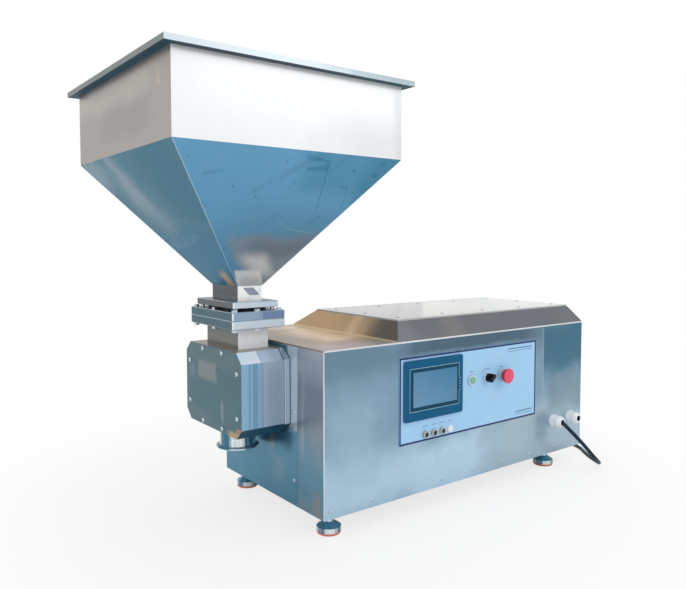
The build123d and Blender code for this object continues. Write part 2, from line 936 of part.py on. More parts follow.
def gear_outline(teeth, first_tooth):
    """Points of a spur gear, with one tooth centred at the angle first_tooth."""
    pitch = gear_module * teeth / 2
    base = pitch * math.cos(pressure_angle)
    root = pitch - 1.25 * gear_module
    tip = pitch + gear_module
    half = math.pi / (2 * teeth) - gear_backlash / (2 * pitch) + involute(pitch, base)
    low = max(base, root)
    flank = []
    for step in range(flank_steps + 1):
        radius = low + (tip - low) * step / flank_steps
        flank.append((radius, half - involute(radius, base)))
    if root < base:
        flank.insert(0, (root, flank[0][1]))
    points = []
    for tooth in range(teeth):
        middle = first_tooth + 2 * math.pi * tooth / teeth
        sides = [(radius, middle - angle) for radius, angle in flank]
        sides += [(radius, middle + angle) for radius, angle in reversed(flank)]
        points += [(radius * math.cos(angle), radius * math.sin(angle)) for radius, angle in sides]
    return points


def spur_gear(teeth, first_tooth, y, z, bore):
    face = make_face(Polyline(*gear_outline(teeth, first_tooth), close=True))
    placed = Plane(origin=(gear_start, y, z), x_dir=(0, 1, 0), z_dir=(1, 0, 0))
    gear = extrude(placed * face, gear_width)
    if bore:
        gear -= bar_x(gear_start, gear_start + gear_width, y, z, bore)
    return gear


def ring_gear():
    return spur_gear(ring_teeth, math.radians(-90), axis_y, valve_z, sleeve_radius)


def valve_pinion():
    first_tooth = math.radians(90) + math.pi / pinion_teeth
    gear = spur_gear(pinion_teeth, first_tooth, axis_y, pinion_z, 0)
    hub_end = gear_start + gear_width + pinion_hub_length
    gear += bar_x(gear_start + gear_width, hub_end, axis_y, pinion_z, pinion_hub_radius)
    shaft_end = front_support_start + front_support_thickness + pinion_shaft_depth
    return gear + bar_x(hub_end, shaft_end, axis_y, pinion_z, pinion_shaft_radius)


def valve_gearmotor():
    face = front_support_start + front_support_thickness
    case = bar_x(face, face + gearbox_length, axis_y, pinion_z, gearbox_radius)
    motor_end = face + gearbox_length + small_motor_length
    case += bar_x(face + gearbox_length, motor_end, axis_y, pinion_z, small_motor_radius)
    case = chamfer(case.faces().sort_by(Axis.X)[-1].edges(), small_motor_edge)
    depth = pinion_shaft_depth + 1
    return case - bar_x(face, face + depth, axis_y, pinion_z, pinion_shaft_radius + running_play)


# Cylinder, piston and drive

def product_cylinder():
    nose_end = sleeve_reach + cylinder_nose_play
    tube = bar_x(cylinder_start, nose_end, axis_y, valve_z, drum_bore - running_play)
    tube += bar_x(nose_end, cylinder_end, axis_y, valve_z, cylinder_radius)
    return tube - bar_x(cylinder_start, cylinder_end, axis_y, valve_z, cylinder_bore)


def support_plate(start, end, half_width):
    y = (axis_y - half_width, axis_y + half_width)
    plate = block((start, end), y, (tray_floor, valve_z + support_rise))
    return chamfer(plate.edges().filter_by(Axis.X).sort_by(Axis.Z)[-2:], block_chamfer)


def cylinder_brackets():
    front_end = front_support_start + front_support_thickness
    front = support_plate(front_support_start, front_end, support_half_width)
    front -= bar_x(front_support_start, front_end, axis_y, valve_z, cylinder_radius + running_play)
    front -= bar_x(front_support_start, front_end, axis_y, pinion_z, pinion_hub_radius)
    rear_start = cylinder_end - support_thickness
    rear = support_plate(rear_start, cylinder_end, support_half_width)
    rear -= bar_x(rear_start, cylinder_end, axis_y, valve_z, cylinder_radius + running_play)
    for side in (-1, 1):
        y = axis_y + side * rod_spread
        rear -= bar_x(rear_start, cylinder_end, y, valve_z, rod_radius + running_play)
    return [front, rear]


def guide_rods():
    start = cylinder_end - support_thickness
    return [bar_x(start, bearing_end, axis_y + side * rod_spread, valve_z, rod_radius) for side in (-1, 1)]


def piston():
    end = piston_start + piston_length
    body = bar_x(piston_start, end, axis_y, valve_z, cylinder_bore - piston_play)
    body = chamfer(body.faces().sort_by(Axis.X)[0].edges(), piston_edge)
    for start in seal_starts():
        ring = bar_x(start, start + seal_ring_width, axis_y, valve_z, cylinder_bore)
        ring -= bar_x(start, start + seal_ring_width, axis_y, valve_z, cylinder_bore - seal_groove)
        body -= ring
    return body


def seal_starts():
    end = piston_start + piston_length - seal_ring_inset - seal_ring_width
    return [piston_start + seal_ring_inset, end]


def piston_seals():
    rings = []
    for start in seal_starts():
        ring = bar_x(start, start + seal_ring_width, axis_y, valve_z, cylinder_bore - running_play)
        ring -= bar_x(start, start + seal_ring_width, axis_y, valve_z, cylinder_bore - seal_groove)
        rings.append(ring)
    return rings


def thrust_tube():
    start = piston_start + piston_length
    tube = bar_x(start, carriage_start, axis_y, valve_z, thrust_radius)
    return tube - bar_x(start + thrust_nose, carriage_start, axis_y, valve_z, thrust_bore)


def carriage():
    x = (carriage_start, nut_start)
    y = (axis_y - carriage_half_width, axis_y + carriage_half_width)
    z = (valve_z - carriage_half_height, valve_z + carriage_half_height)
    plate = block(x, y, z)
    plate = fillet(plate.edges().filter_by(Axis.X), carriage_corner)
    plate -= bar_x(*x, axis_y, valve_z, thrust_bore)
    end = nut_start + nut_flange_thickness
    for side in (-1, 1):
        y_rod = axis_y + side * rod_spread
        plate += bar_x(nut_start, end, y_rod, valve_z, rod_radius + rod_bush)
        plate -= bar_x(carriage_start, end, y_rod, valve_z, rod_radius + running_play)
    return plate


def ball_nut():
    flange_end = nut_start + nut_flange_thickness
    nut = bar_x(nut_start, flange_end, axis_y, valve_z, nut_flange_radius)
    nut += bar_x(flange_end, nut_start + nut_length, axis_y, valve_z, nut_radius)
    return nut - bar_x(nut_start, nut_start + nut_length, axis_y, valve_z, screw_radius + running_play)


def ball_screw():
    """The screw, with a ring groove for each turn of its thread, and its journal."""
    start = nut_start - screw_overlap
    end = bearing_start
    outline = [(0, start), (screw_radius - 1, start), (screw_radius, start + 1)]
    groove = start + screw_lead / 4
    while groove + screw_lead / 4 < end - screw_lead / 4:
        outline.append((screw_radius, groove))
        outline.append((screw_radius - screw_groove, groove + screw_groove))
        outline.append((screw_radius, groove + 2 * screw_groove))
        groove += screw_lead / 2
    journal_end = coupling_start + coupling_length / 2 - coupling_slot
    outline += [(screw_radius, end), (journal_radius, end), (journal_radius, journal_end), (0, journal_end)]
    return Pos(0, axis_y, valve_z) * turned(outline, "x")


def shaft_coupling():
    """Two hubs with a slot ring between them, and the motor shaft in the second."""
    middle = coupling_start + coupling_length / 2
    slot = (middle - coupling_slot / 2, middle + coupling_slot / 2)
    hub = bar_x(coupling_start, coupling_end, axis_y, valve_z, coupling_radius)
    ring = bar_x(*slot, axis_y, valve_z, coupling_radius)
    ring -= bar_x(*slot, axis_y, valve_z, coupling_radius - coupling_slot_depth)
    hub -= ring
    hub -= bar_x(coupling_start, middle - coupling_slot, axis_y, valve_z, journal_radius)
    shaft_end = motor_face + motor_shaft_depth
    return hub + bar_x(coupling_end, shaft_end, axis_y, valve_z, motor_shaft_radius)


def motor_bracket():
    """One foot on the tray with a wall for the screw bearing and a wall for the motor."""
    front = support_plate(bearing_start, bearing_end, support_half_width)
    front -= bar_x(bearing_start, bearing_end, axis_y, valve_z, journal_radius + running_play)
    for side in (-1, 1):
        y = axis_y + side * rod_spread
        front -= bar_x(bearing_start, bearing_end, y, valve_z, rod_radius + running_play)
    half = motor_flange / 2 + motor_wall_margin
    rear = support_plate(motor_wall_start, motor_face, half)
    rear -= bar_x(motor_wall_start, motor_face, axis_y, valve_z, motor_spigot_radius + running_play)
    y = (axis_y - half, axis_y + half)
    sole = block((bearing_end, motor_wall_start), y, (tray_floor, tray_floor + motor_wall))
    return front + sole + rear


def servo_motor():
    start = motor_face - motor_spigot
    flange_end = motor_face + motor_flange_thickness
    motor = bar_x(start, motor_face, axis_y, valve_z, motor_spigot_radius)
    motor += square_bar(motor_face, flange_end, motor_flange, motor_chamfer)
    body_end = flange_end + motor_length
    motor += square_bar(flange_end, body_end, motor_width, motor_chamfer)
    motor += square_bar(body_end, body_end + motor_cap_length, motor_cap_width, motor_chamfer)
    top = valve_z + motor_cap_width / 2
    y = (axis_y - motor_socket / 2, axis_y + motor_socket / 2)
    x = (body_end + motor_socket_inset, body_end + motor_socket_inset + motor_socket)
    motor += block(x, y, (valve_z, top + motor_socket))
    depth = motor_shaft_depth + 1
    return motor - bar_x(start, motor_face + depth, axis_y, valve_z, motor_shaft_radius + running_play)


def square_bar(start, end, width, corner):
    half = width / 2
    bar = block((start, end), (axis_y - half, axis_y + half), (valve_z - half, valve_z + half))
    return chamfer(bar.edges().filter_by(Axis.X), corner)


def device(start, length, depth, low, height):
    """A device fixed to the front of the wiring panel."""
    face = wiring_depth - wiring_panel_thickness
    case = block((start, start + length), (face - depth, face), (low, low + height))
    return chamfer(case.edges().filter_by(Axis.X).sort_by(Axis.Y)[:2], device_edge)


def electrical_panel():
    """The wiring panel with its terminal rail, controller, servo drive and power supply."""
    x = (end_plate_thickness + tray_wall, housing_length - sheet - tray_wall)
    y = (wiring_depth - wiring_panel_thickness, wiring_depth)
    panel = block(x, y, (tray_floor, housing_height - wiring_panel_gap))
    controller_x = housing_length - controller_inset
    drive_x = housing_length - drive_inset
    supply_x = housing_length - supply_inset
    return [
        panel,
        device(rail_start, rail_length, rail_depth, rail_low, rail_height),
        device(controller_x, controller_length, controller_depth, device_low, device_height),
        device(drive_x, drive_length, drive_depth, device_low, device_height),
        device(supply_x, supply_length, supply_depth, device_low, device_height),
    ]


# Controls

def control_panel():
    x = (panel_start, panel_start + panel_length)
    plate = block(x, (panel_front, 0), (panel_low, panel_low + panel_height))
    plate = fillet(plate.edges().filter_by(Axis.Y), panel_corner)
    for tool in panel_cutouts():
        plate -= tool
    return plate


def screen_span():
    x = (screen_start, screen_start + screen_length)
    return x, (screen_low, screen_low + screen_height)


def hmi_unit():
    x = (hmi_start, hmi_start + hmi_length)
    face = panel_front - hmi_depth
    unit = block(x, (face, panel_front), (hmi_low, hmi_low + hmi_height))
    unit = fillet(unit.edges().filter_by(Axis.Y), hmi_corner)
    screen_x, screen_z = screen_span()
    return unit - block(screen_x, (face, face + screen_recess), screen_z) + hmi_case()


def hmi_screen():
    face = panel_front - hmi_depth
    screen_x, screen_z = screen_span()
    return block(screen_x, (face + screen_sink, face + screen_recess), screen_z)


def button_bezels():
    rings = []
    face = panel_front - bezel_depth
    for x in (start_x, selector_x):
        ring = bar_y(face, panel_front, x, button_z, bezel_radius)
        ring = chamfer(ring.faces().sort_by(Axis.Y)[0].edges(), bezel_edge)
        ring += bar_y(panel_front, bezel_neck, x, button_z, bezel_neck_radius)
        ring -= bar_y(face, panel_front + button_travel + 1, x, button_z, cap_radius + cap_play)
        ring -= bar_y(face, bezel_neck, x, button_z, button_stem_radius + cap_play)
        rings.append(ring)
    return rings


def start_button():
    face = panel_front - bezel_depth - cap_proud
    cap = bar_y(face, panel_front, start_x, button_z, cap_radius)
    cap = fillet(cap.faces().sort_by(Axis.Y)[0].edges(), cap_edge)
    return cap + bar_y(panel_front, bezel_neck + button_stem_tail, start_x, button_z, button_stem_radius)


def selector_knob():
    """A round knob with a handle across it, standing at the right-hand position."""
    face = panel_front - bezel_depth - end_play
    base = face - knob_base
    tip = base - knob_proud
    knob = bar_y(face, panel_front, 0, 0, cap_radius)
    knob += bar_y(base, face, 0, 0, knob_radius)
    half = knob_handle_width / 2
    handle = block((-half, half), (tip, base), (-knob_radius + end_play, knob_handle_tip))
    knob += fillet(handle.edges().filter_by(Axis.Y), knob_handle_corner)
    knob += bar_y(panel_front, bezel_neck + button_stem_tail, 0, 0, button_stem_radius)
    return Pos(selector_x, 0, button_z) * Rot(0, knob_angle, 0) * knob


def estop_collar():
    face = panel_front - collar_depth
    collar = bar_y(face, panel_front, estop_x, button_z, collar_radius)
    collar = chamfer(collar.faces().sort_by(Axis.Y)[0].edges(), collar_edge)
    collar += bar_y(panel_front, bezel_neck, estop_x, button_z, bezel_neck_radius)
    return collar - bar_y(face, bezel_neck, estop_x, button_z, estop_stem_radius + cap_play)


def estop_base():
    """The y of the back of the red head."""
    return panel_front - collar_depth - estop_gap


def estop_head():
    """The mushroom head: a domed face, an upright rim and a taper behind it."""
    back = estop_base()
    top = back - estop_height
    rim_front = top + estop_crown
    crown_radius = (estop_radius ** 2 + estop_crown ** 2) / (2 * estop_crown)
    crown = RadiusArc((0, top), (estop_radius, rim_front), -crown_radius)
    rest = Polyline((estop_radius, rim_front), (estop_radius, rim_front + estop_rim),
                    (estop_neck_radius, back), (0, back), (0, top))
    head = Pos(estop_x, 0, button_z) * spun(make_face([crown, rest]), "y")
    return head - bar_y(back - estop_socket, back, estop_x, button_z, estop_stem_radius + running_play)


def estop_plunger():
    start = estop_base() - estop_socket + end_play
    return bar_y(start, bezel_neck + estop_stem_tail, estop_x, button_z, estop_stem_radius)


def contact_blocks():
    blocks = []
    stems = {start_x: button_stem_radius, selector_x: button_stem_radius, estop_x: estop_stem_radius}
    for x, stem in stems.items():
        body = block((x - block_size_x / 2, x + block_size_x / 2), (bezel_neck, bezel_neck + block_depth),
                     (button_z - block_size_z / 2, button_z + block_size_z / 2))
        body = chamfer(body.edges().filter_by(Axis.Y), block_edge)
        depth = bezel_neck + 2 * estop_travel + estop_stem_tail
        blocks.append(body - bar_y(bezel_neck, depth, x, button_z, stem + cap_play))
    return blocks


def socket_shells():
    shells = []
    for x in socket_places():
        face = panel_front - socket_depth
        shell = bar_y(face, panel_front, x, socket_z, socket_radius)
        shell = chamfer(shell.faces().sort_by(Axis.Y)[0].edges(), socket_edge)
        shell += bar_y(panel_front, socket_shank, x, socket_z, socket_shank_radius)
        shells.append(shell - bar_y(face, panel_front, x, socket_z, socket_insert_radius))
    return shells


def socket_inserts():
    """The dark inserts of the sockets, and the white cap of the last socket."""
    pieces = []
    for x in socket_places():
        face = panel_front - socket_depth + socket_sink
        pieces.append(bar_y(face, panel_front, x, socket_z, socket_insert_radius))
    cap = bar_y(panel_front - socket_cap_depth, panel_front, socket_cap_x, socket_z, socket_radius)
    cap = fillet(cap.faces().sort_by(Axis.Y)[0].edges(), socket_edge)
    pieces.append(cap + bar_y(panel_front, socket_shank, socket_cap_x, socket_z, socket_shank_radius))
    return pieces


def gland(x, bore):
    """A nylon gland: hexagon, ribbed nut with a domed end, threaded neck, and the nut inside."""
    hexagon = RegularPolygon(gland_hex / 2, 6, major_radius=False)
    placed = Plane(origin=(x, 0, gland_z), x_dir=(1, 0, 0), z_dir=(0, -1, 0))
    body = extrude(placed * hexagon, gland_hex_depth)
    dome_start = gland_mouth + gland_dome
    nut = bar_y(dome_start, -gland_hex_depth, x, gland_z, gland_radius)
    for index in range(gland_grooves):
        angle = 2 * math.pi * index / gland_grooves
        groove_x = x + gland_radius * math.cos(angle)
        groove_z = gland_z + gland_radius * math.sin(angle)
        nut -= bar_y(dome_start, -gland_hex_depth - 1, groove_x, groove_z, gland_groove_radius)
    dome = [
        (0, dome_start), (gland_radius - 2 * gland_groove_radius, dome_start),
        (gland_mouth_radius + 1, gland_mouth + 1), (gland_mouth_radius, gland_mouth), (0, gland_mouth),
    ]
    body += nut + Pos(x, 0, gland_z) * turned(dome, "y")
    body += bar_y(0, gland_neck, x, gland_z, gland_neck_radius)
    body -= bar_y(gland_mouth, gland_neck, x, gland_z, bore)
    lock = Plane(origin=(x, sheet + gland_nut_depth, gland_z), x_dir=(1, 0, 0), z_dir=(0, -1, 0))
    lock_nut = extrude(lock * hexagon, gland_nut_depth)
    return body, lock_nut - bar_y(sheet, gland_neck, x, gland_z, gland_neck_radius + screw_play / 2)


# Power cord

def corner_radii(points):
    """Arc radius at each inner point: 0.45 of the shorter run over the tangent of half the turn."""
    radii = []
    for before, here, after in zip(points, points[1:], points[2:]):
        run_in = Vector(*here) - Vector(*before)
        run_out = Vector(*after) - Vector(*here)
        half_turn = math.radians(run_in.get_angle(run_out)) / 2
        radii.append(0.45 * min(run_in.length, run_out.length) / math.tan(half_turn))
    return radii


def power_cord():
    radii = corner_radii(cord_route)
    print("cord radii", [round(radius) for radius in radii])
    path = FilletPolyline(*cord_route, radius=radii)
    start = Plane(origin=path @ 0, z_dir=path % 0)
    tube = sweep(start * Circle(cord_radius), path=path)
    section = math.pi * cord_radius ** 2
    print("cord length", round(path.length), "volume share", round(tube.volume / (section * path.length), 4))
    return tube


def power_cord_coil():
    half = coil_layers * cord_radius
    ring = bar_z(floor_z, floor_z + 2 * half, coil_x, coil_y, coil_turn_radius + half)
    ring -= bar_z(floor_z, floor_z + 2 * half, coil_x, coil_y, coil_turn_radius - half)
    return fillet(ring.edges().filter_by(GeomType.CIRCLE), cord_radius * coil_edge)


def power_plug():
    """The plug, lying with its nose against the outside of the coil."""
    outer = coil_turn_radius + coil_layers * cord_radius
    nose_start = coil_x + end_play + math.sqrt(outer ** 2 - (coil_turn_radius - plug_nose_radius) ** 2)
    start = nose_start + plug_nose
    end = start + plug_length
    y = coil_y + coil_turn_radius
    z = floor_z + plug_height / 2
    plug = block((start, end), (y - plug_width / 2, y + plug_width / 2), (floor_z, floor_z + plug_height))
    plug = fillet(plug.edges().filter_by(Axis.X), plug_corner)
    plug += bar_x(nose_start, start, y, z, plug_nose_radius)
    for side in (-1, 1):
        plug += bar_x(end, end + plug_pin_length, y + side * plug_pin_spread, z, plug_pin_radius)
    return plug


os.makedirs("parts", exist_ok=True)

save("base_tray", base_tray())
save("end_plate", end_plate())
save("front_panel", front_panel())
save("rear_panel", rear_panel())
save("right_end_panel", right_end_panel())
save("deck_plate", deck_plate())
save("top_hood", top_hood())
save("lid", lid())
save("lid_screws", *lid_screws())
save("housing_screws", *housing_screws())
for foot_name, (foot_x, foot_y) in foot_places().items():
    save(foot_name, *levelling_foot(foot_x, foot_y))

save("hopper_bin", hopper_bin())
save("hopper_cone", hopper_cone())
save("hopper_base_plate", hopper_base_plate())
save("hopper_seal", hopper_seal())
save("flange_upper", flange_upper())
save("flange_lower", flange(flange_low))
save("flange_bolts", *flange_bolts())
save("valve_neck", valve_neck())
save("valve_body", valve_body())
save("valve_cover", valve_cover())
save("cover_screws", *cover_screws())
save("outlet_ferrule", outlet_ferrule())

save("valve_drum", valve_drum())
save("ring_gear", ring_gear())
save("valve_pinion", valve_pinion())
save("valve_gearmotor", valve_gearmotor())
save("product_cylinder", product_cylinder())
save("cylinder_brackets", *cylinder_brackets())
save("guide_rods", *guide_rods())
save("piston", piston())
save("piston_seals", *piston_seals())
save("thrust_tube", thrust_tube())
save("carriage", carriage())
save("ball_nut", ball_nut())
save("ball_screw", ball_screw())
save("shaft_coupling", shaft_coupling())
save("motor_bracket", motor_bracket())
save("servo_motor", servo_motor())
save("electrical_panel", *electrical_panel())

save("control_panel", control_panel())
save("hmi_unit", hmi_unit())
save("hmi_screen", hmi_screen())
save("button_bezels", *button_bezels())
save("start_button", start_button())
save("selector_knob", selector_knob())
save("estop_collar", estop_collar())
save("estop_head", estop_head())
save("estop_plunger", estop_plunger())
save("contact_blocks", *contact_blocks())
save("socket_shells", *socket_shells())
save("socket_inserts", *socket_inserts())
save("gland_power", *gland(gland_places["gland_power"], cord_radius + running_play))
save("gland_spare", *gland(gland_places["gland_spare"], spare_bore))
save("power_cord", power_cord())
save("power_cord_coil", power_cord_coil())
save("power_plug", power_plug())

print("origin", [round(value, 2) for value in origin])
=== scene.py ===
import math

import bmesh
import bpy
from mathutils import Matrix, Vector


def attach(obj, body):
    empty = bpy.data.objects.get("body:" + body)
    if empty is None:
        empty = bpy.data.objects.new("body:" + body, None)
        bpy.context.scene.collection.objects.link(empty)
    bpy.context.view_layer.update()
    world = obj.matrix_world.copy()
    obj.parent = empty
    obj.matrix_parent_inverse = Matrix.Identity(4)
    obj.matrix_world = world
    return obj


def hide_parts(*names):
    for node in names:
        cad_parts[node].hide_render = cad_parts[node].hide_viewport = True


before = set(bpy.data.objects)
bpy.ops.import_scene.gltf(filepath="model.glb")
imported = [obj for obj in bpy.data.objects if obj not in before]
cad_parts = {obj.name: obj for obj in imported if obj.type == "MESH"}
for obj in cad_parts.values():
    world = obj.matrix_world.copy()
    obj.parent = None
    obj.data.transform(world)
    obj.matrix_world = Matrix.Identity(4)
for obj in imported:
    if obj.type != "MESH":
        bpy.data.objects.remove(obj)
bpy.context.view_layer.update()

# All places below are metres. The housing's front lower left corner is at
# `corner` in the shared frame, and places on the machine are measured from it.
corner = Vector((-0.30545, -0.2805, 0.048))
floor_z = -0.048
housing_top = 0.385
housing_length = 0.980
wiring_depth = 0.1065
axis_y = 0.286
hopper_x = -0.0615
valve_z = 0.272
cone_low, cone_high = 0.5211, 0.822
throat_half = (0.0325, 0.066)
bin_half = 0.2875
hopper_top = 1.005
rim_reach = 0.0225
rim_lip = 0.012
rim_sheet = 0.002
gland_columns = (0.839, 0.919)
gland_z = 0.097
gland_seal_radius = 0.0085

# Camera, solved from the housing's edges in the photograph
camera_place = Vector((-0.8608, -1.2045, 0.6212))
camera_turn = math.radians(-37.2)
camera_tilt = math.radians(-2.9)
camera_lens = 35.34
camera_shift_y = -0.0233


def place(x, y, z):
    """A point given from the housing's corner, in the shared frame."""
    return corner + Vector((x, y, z))


def srgb(red, green, blue):
    """A colour given in 0 to 255 display values, as linear values."""
    channels = []
    for value in (red, green, blue):
        level = value / 255
        channels.append(level / 12.92 if level <= 0.04045 else ((level + 0.055) / 1.055) ** 2.4)
    return channels + [1.0]


# Node helpers

def start_material(name):
    material = bpy.data.materials.new(name)
    material.use_nodes = True
    return material, material.node_tree, material.node_tree.nodes["Principled BSDF"]


def add(tree, kind, **settings):
    node = tree.nodes.new("ShaderNode" + kind)
    for key, value in settings.items():
        setattr(node, key, value)
    return node


def feed(tree, node, key, value):
    """Set an input, or link it when the value is another node's output."""
    if isinstance(value, bpy.types.NodeSocket):
        tree.links.new(value, node.inputs[key])
    else:
        node.inputs[key].default_value = value


def calc(tree, operation, first, second=0.0):
    node = add(tree, "Math", operation=operation)
    feed(tree, node, 0, first)
    feed(tree, node, 1, second)
    return node.outputs[0]


def mix(tree, factor, first, second, blend="MIX"):
    node = add(tree, "Mix", data_type="RGBA", blend_type=blend)
    feed(tree, node, "Factor", factor)
    feed(tree, node, 6, first)
    feed(tree, node, 7, second)
    return node.outputs[2]


def spread(tree, value, low, high, to_low=0.0, to_high=1.0):
    """A smooth step of a value from one range to another."""
    node = add(tree, "MapRange", interpolation_type="SMOOTHSTEP")
    feed(tree, node, "Value", value)
    feed(tree, node, "From Min", low)
    feed(tree, node, "From Max", high)
    feed(tree, node, "To Min", to_low)
    feed(tree, node, "To Max", to_high)
    return node.outputs[0]


def scaled(tree, scale, turn=(0, 0, 0)):
    """Object coordinates stretched by a scale on each axis, after a turn in degrees."""
    coordinates = add(tree, "TexCoord")
    turned = add(tree, "VectorRotate", rotation_type="EULER_XYZ")
    tree.links.new(coordinates.outputs["Object"], turned.inputs["Vector"])
    turned.inputs["Rotation"].default_value = [math.radians(angle) for angle in turn]
    mapping = add(tree, "Mapping")
    tree.links.new(turned.outputs[0], mapping.inputs["Vector"])
    mapping.inputs["Scale"].default_value = scale
    return mapping.outputs[0]


def noise(tree, scale, detail=3.0, distortion=0.0, stretch=(1, 1, 1), turn=(0, 0, 0)):
    node = add(tree, "TexNoise")
    tree.links.new(scaled(tree, stretch, turn), node.inputs["Vector"])
    feed(tree, node, "Scale", scale)
    feed(tree, node, "Detail", detail)
    feed(tree, node, "Distortion", distortion)
    return node.outputs["Fac"]


def from_corner(tree, axis):
    """One coordinate of the surface point, measured from the housing's corner."""
    split = add(tree, "SeparateXYZ")
    tree.links.new(add(tree, "TexCoord").outputs["Object"], split.inputs[0])
    return calc(tree, "SUBTRACT", split.outputs[axis], corner[axis])


def band(tree, value, low, high, soft):
    """1 between two limits and 0 outside them, with soft ends."""
    rise = spread(tree, value, low - soft, low + soft)
    fall = spread(tree, value, high - soft, high + soft, 1.0, 0.0)
    return calc(tree, "MULTIPLY", rise, fall)


side_parts = {"left": (-1, 0, 0), "right": (1, 0, 0), "front": (0, -1, 0), "back": (0, 1, 0),
              "down": (0, 0, -1), "up": (0, 0, 1)}


def facing(tree, side):
    """1 where the surface faces a side, or the slope between two sides such as front_up."""
    direction = Vector((0, 0, 0))
    for word in side.split("_"):
        direction += Vector(side_parts[word])
    dot = add(tree, "VectorMath", operation="DOT_PRODUCT")
    tree.links.new(add(tree, "TexCoord").outputs["Normal"], dot.inputs[0])
    dot.inputs[1].default_value = direction.normalized()
    return spread(tree, dot.outputs["Value"], 0.86, 0.94)


def bump(tree, bsdf, height, strength, distance=0.001):
    node = add(tree, "Bump")
    feed(tree, node, "Strength", strength)
    feed(tree, node, "Distance", distance)
    tree.links.new(height, node.inputs["Height"])
    tree.links.new(node.outputs[0], bsdf.inputs["Normal"])


# Steel

def tone(tree, colour, factor, amount):
    """Lighten and darken a colour by a share around a noise value."""
    level = calc(tree, "ADD", calc(tree, "MULTIPLY", calc(tree, "SUBTRACT", factor, 0.5), 2 * amount), 1.0)
    grey = add(tree, "CombineXYZ")
    for axis in range(3):
        tree.links.new(level, grey.inputs[axis])
    return mix(tree, 1.0, colour, grey.outputs[0], "MULTIPLY")


def patch(colour, side=None, x=None, y=None, z=None, amount=1.0, lean=None):
    """A patch of painted reflection, highlight or shade, and in places a dark seam line. Each span is low limit, high
    limit and softness.

    A lean is (axis, other axis, slope): the span on the axis moves with the other coordinate.
    """
    return {"colour": colour, "side": side, "spans": (x, y, z), "amount": amount, "lean": lean}


def lay_patches(tree, colour, patches):
    """Cover a colour with patches, their ends a little uneven."""
    places = [from_corner(tree, axis) for axis in range(3)]
    sway = calc(tree, "SUBTRACT", noise(tree, 9.0, 2.0, 0.4), 0.5)
    sides = {}
    for spot in patches:
        mask = spot["amount"]
        for axis, span in enumerate(spot["spans"]):
            if not span:
                continue
            value = places[axis]
            if spot["lean"] and spot["lean"][0] == axis:
                other, slope = spot["lean"][1:]
                value = calc(tree, "SUBTRACT", value, calc(tree, "MULTIPLY", places[other], slope))
            value = calc(tree, "ADD", value, calc(tree, "MULTIPLY", sway, 2.2 * span[2]))
            mask = calc(tree, "MULTIPLY", mask, band(tree, value, *span))
        side = spot["side"]
        if side and side not in sides:
            sides[side] = facing(tree, side)
        if side:
            mask = calc(tree, "MULTIPLY", mask, sides[side])
        colour = mix(tree, mask, colour, srgb(*spot["colour"]))
    return colour


def lay_specks(tree, colour, amount):
    """Small dark specks, here and there."""
    cells = add(tree, "TexVoronoi")
    tree.links.new(scaled(tree, (1, 1, 0.6), (0, 25, 0)), cells.inputs["Vector"])
    feed(tree, cells, "Scale", 24.0)
    dot = spread(tree, cells.outputs["Distance"], 0.05, 0.13, 1.0, 0.0)
    gate = spread(tree, noise(tree, 6.0, 1.0), 0.48, 0.54)
    return mix(tree, calc(tree, "MULTIPLY", calc(tree, "MULTIPLY", dot, gate), amount), colour, srgb(48, 100, 132))


def lay_smears(tree, colour, amount):
    """Faint slanting smears, as a wiping cloth leaves them."""
    smear = noise(tree, 3.2, 4.0, 0.8, (0.6, 1, 6), (0, 38, 0))
    dark = spread(tree, smear, 0.60, 0.72, 0.0, 0.34 * amount)
    colour = mix(tree, dark, colour, srgb(70, 112, 138))
    light = spread(tree, smear, 0.30, 0.42, 0.10 * amount, 0.0)
    return mix(tree, light, colour, srgb(176, 202, 218))


def on_taper(side, across, z):
    """A point on the taper's front or left face, and the way that face looks."""
    rise = cone_high - cone_low
    share = (z - cone_low) / rise
    if side == "front":
        reach = bin_half - throat_half[1]
        return place(across, axis_y - throat_half[1] - share * reach, z), Vector((0, -rise, -reach))
    reach = bin_half - throat_half[0]
    return place(hopper_x - throat_half[0] - share * reach, across, z), Vector((-rise, 0, -reach))


def mark(side, start, end, half_width, colour=(58, 122, 154), amount=0.75):
    """A handling mark on the taper, between two places across and up one face."""
    return {"side": side, "start": start, "end": end, "half_width": half_width, "colour": colour,
            "amount": amount}


def lay_marks(tree, colour, marks):
    """Cover a colour with handling marks, which sway a little and are worn in places."""
    sway = add(tree, "VectorMath", operation="SCALE")
    tree.links.new(calc(tree, "SUBTRACT", noise(tree, 16.0, 2.0, 0.3), 0.5), sway.inputs[0])
    sway.inputs["Scale"].default_value = 0.008
    swayed = add(tree, "VectorMath", operation="ADD")
    tree.links.new(add(tree, "TexCoord").outputs["Object"], swayed.inputs[0])
    tree.links.new(sway.outputs[0], swayed.inputs[1])
    wear = spread(tree, noise(tree, 45.0, 3.0), 0.30, 0.60, 0.55, 1.0)
    sides = {side: calc(tree, "MULTIPLY", facing(tree, side + "_down"), wear) for side in ("front", "left")}
    for spot in marks:
        start, normal = on_taper(spot["side"], *spot["start"])
        end = on_taper(spot["side"], *spot["end"])[0]
        along = (end - start).normalized()
        across = along.cross(normal).normalized()
        middle = (start + end) / 2
        soft = 0.8 * spot["half_width"]
        mask = calc(tree, "MULTIPLY", sides[spot["side"]], spot["amount"])
        for direction, half in ((across, spot["half_width"]), (along, (end - start).length / 2)):
            dot = add(tree, "VectorMath", operation="DOT_PRODUCT")
            tree.links.new(swayed.outputs[0], dot.inputs[0])
            dot.inputs[1].default_value = direction
            offset = calc(tree, "ABSOLUTE", calc(tree, "SUBTRACT", dot.outputs["Value"], middle.dot(direction)))
            mask = calc(tree, "MULTIPLY", mask, spread(tree, offset, half - soft, half + soft, 1.0, 0.0))
        colour = mix(tree, mask, colour, srgb(*spot["colour"]))
    return colour


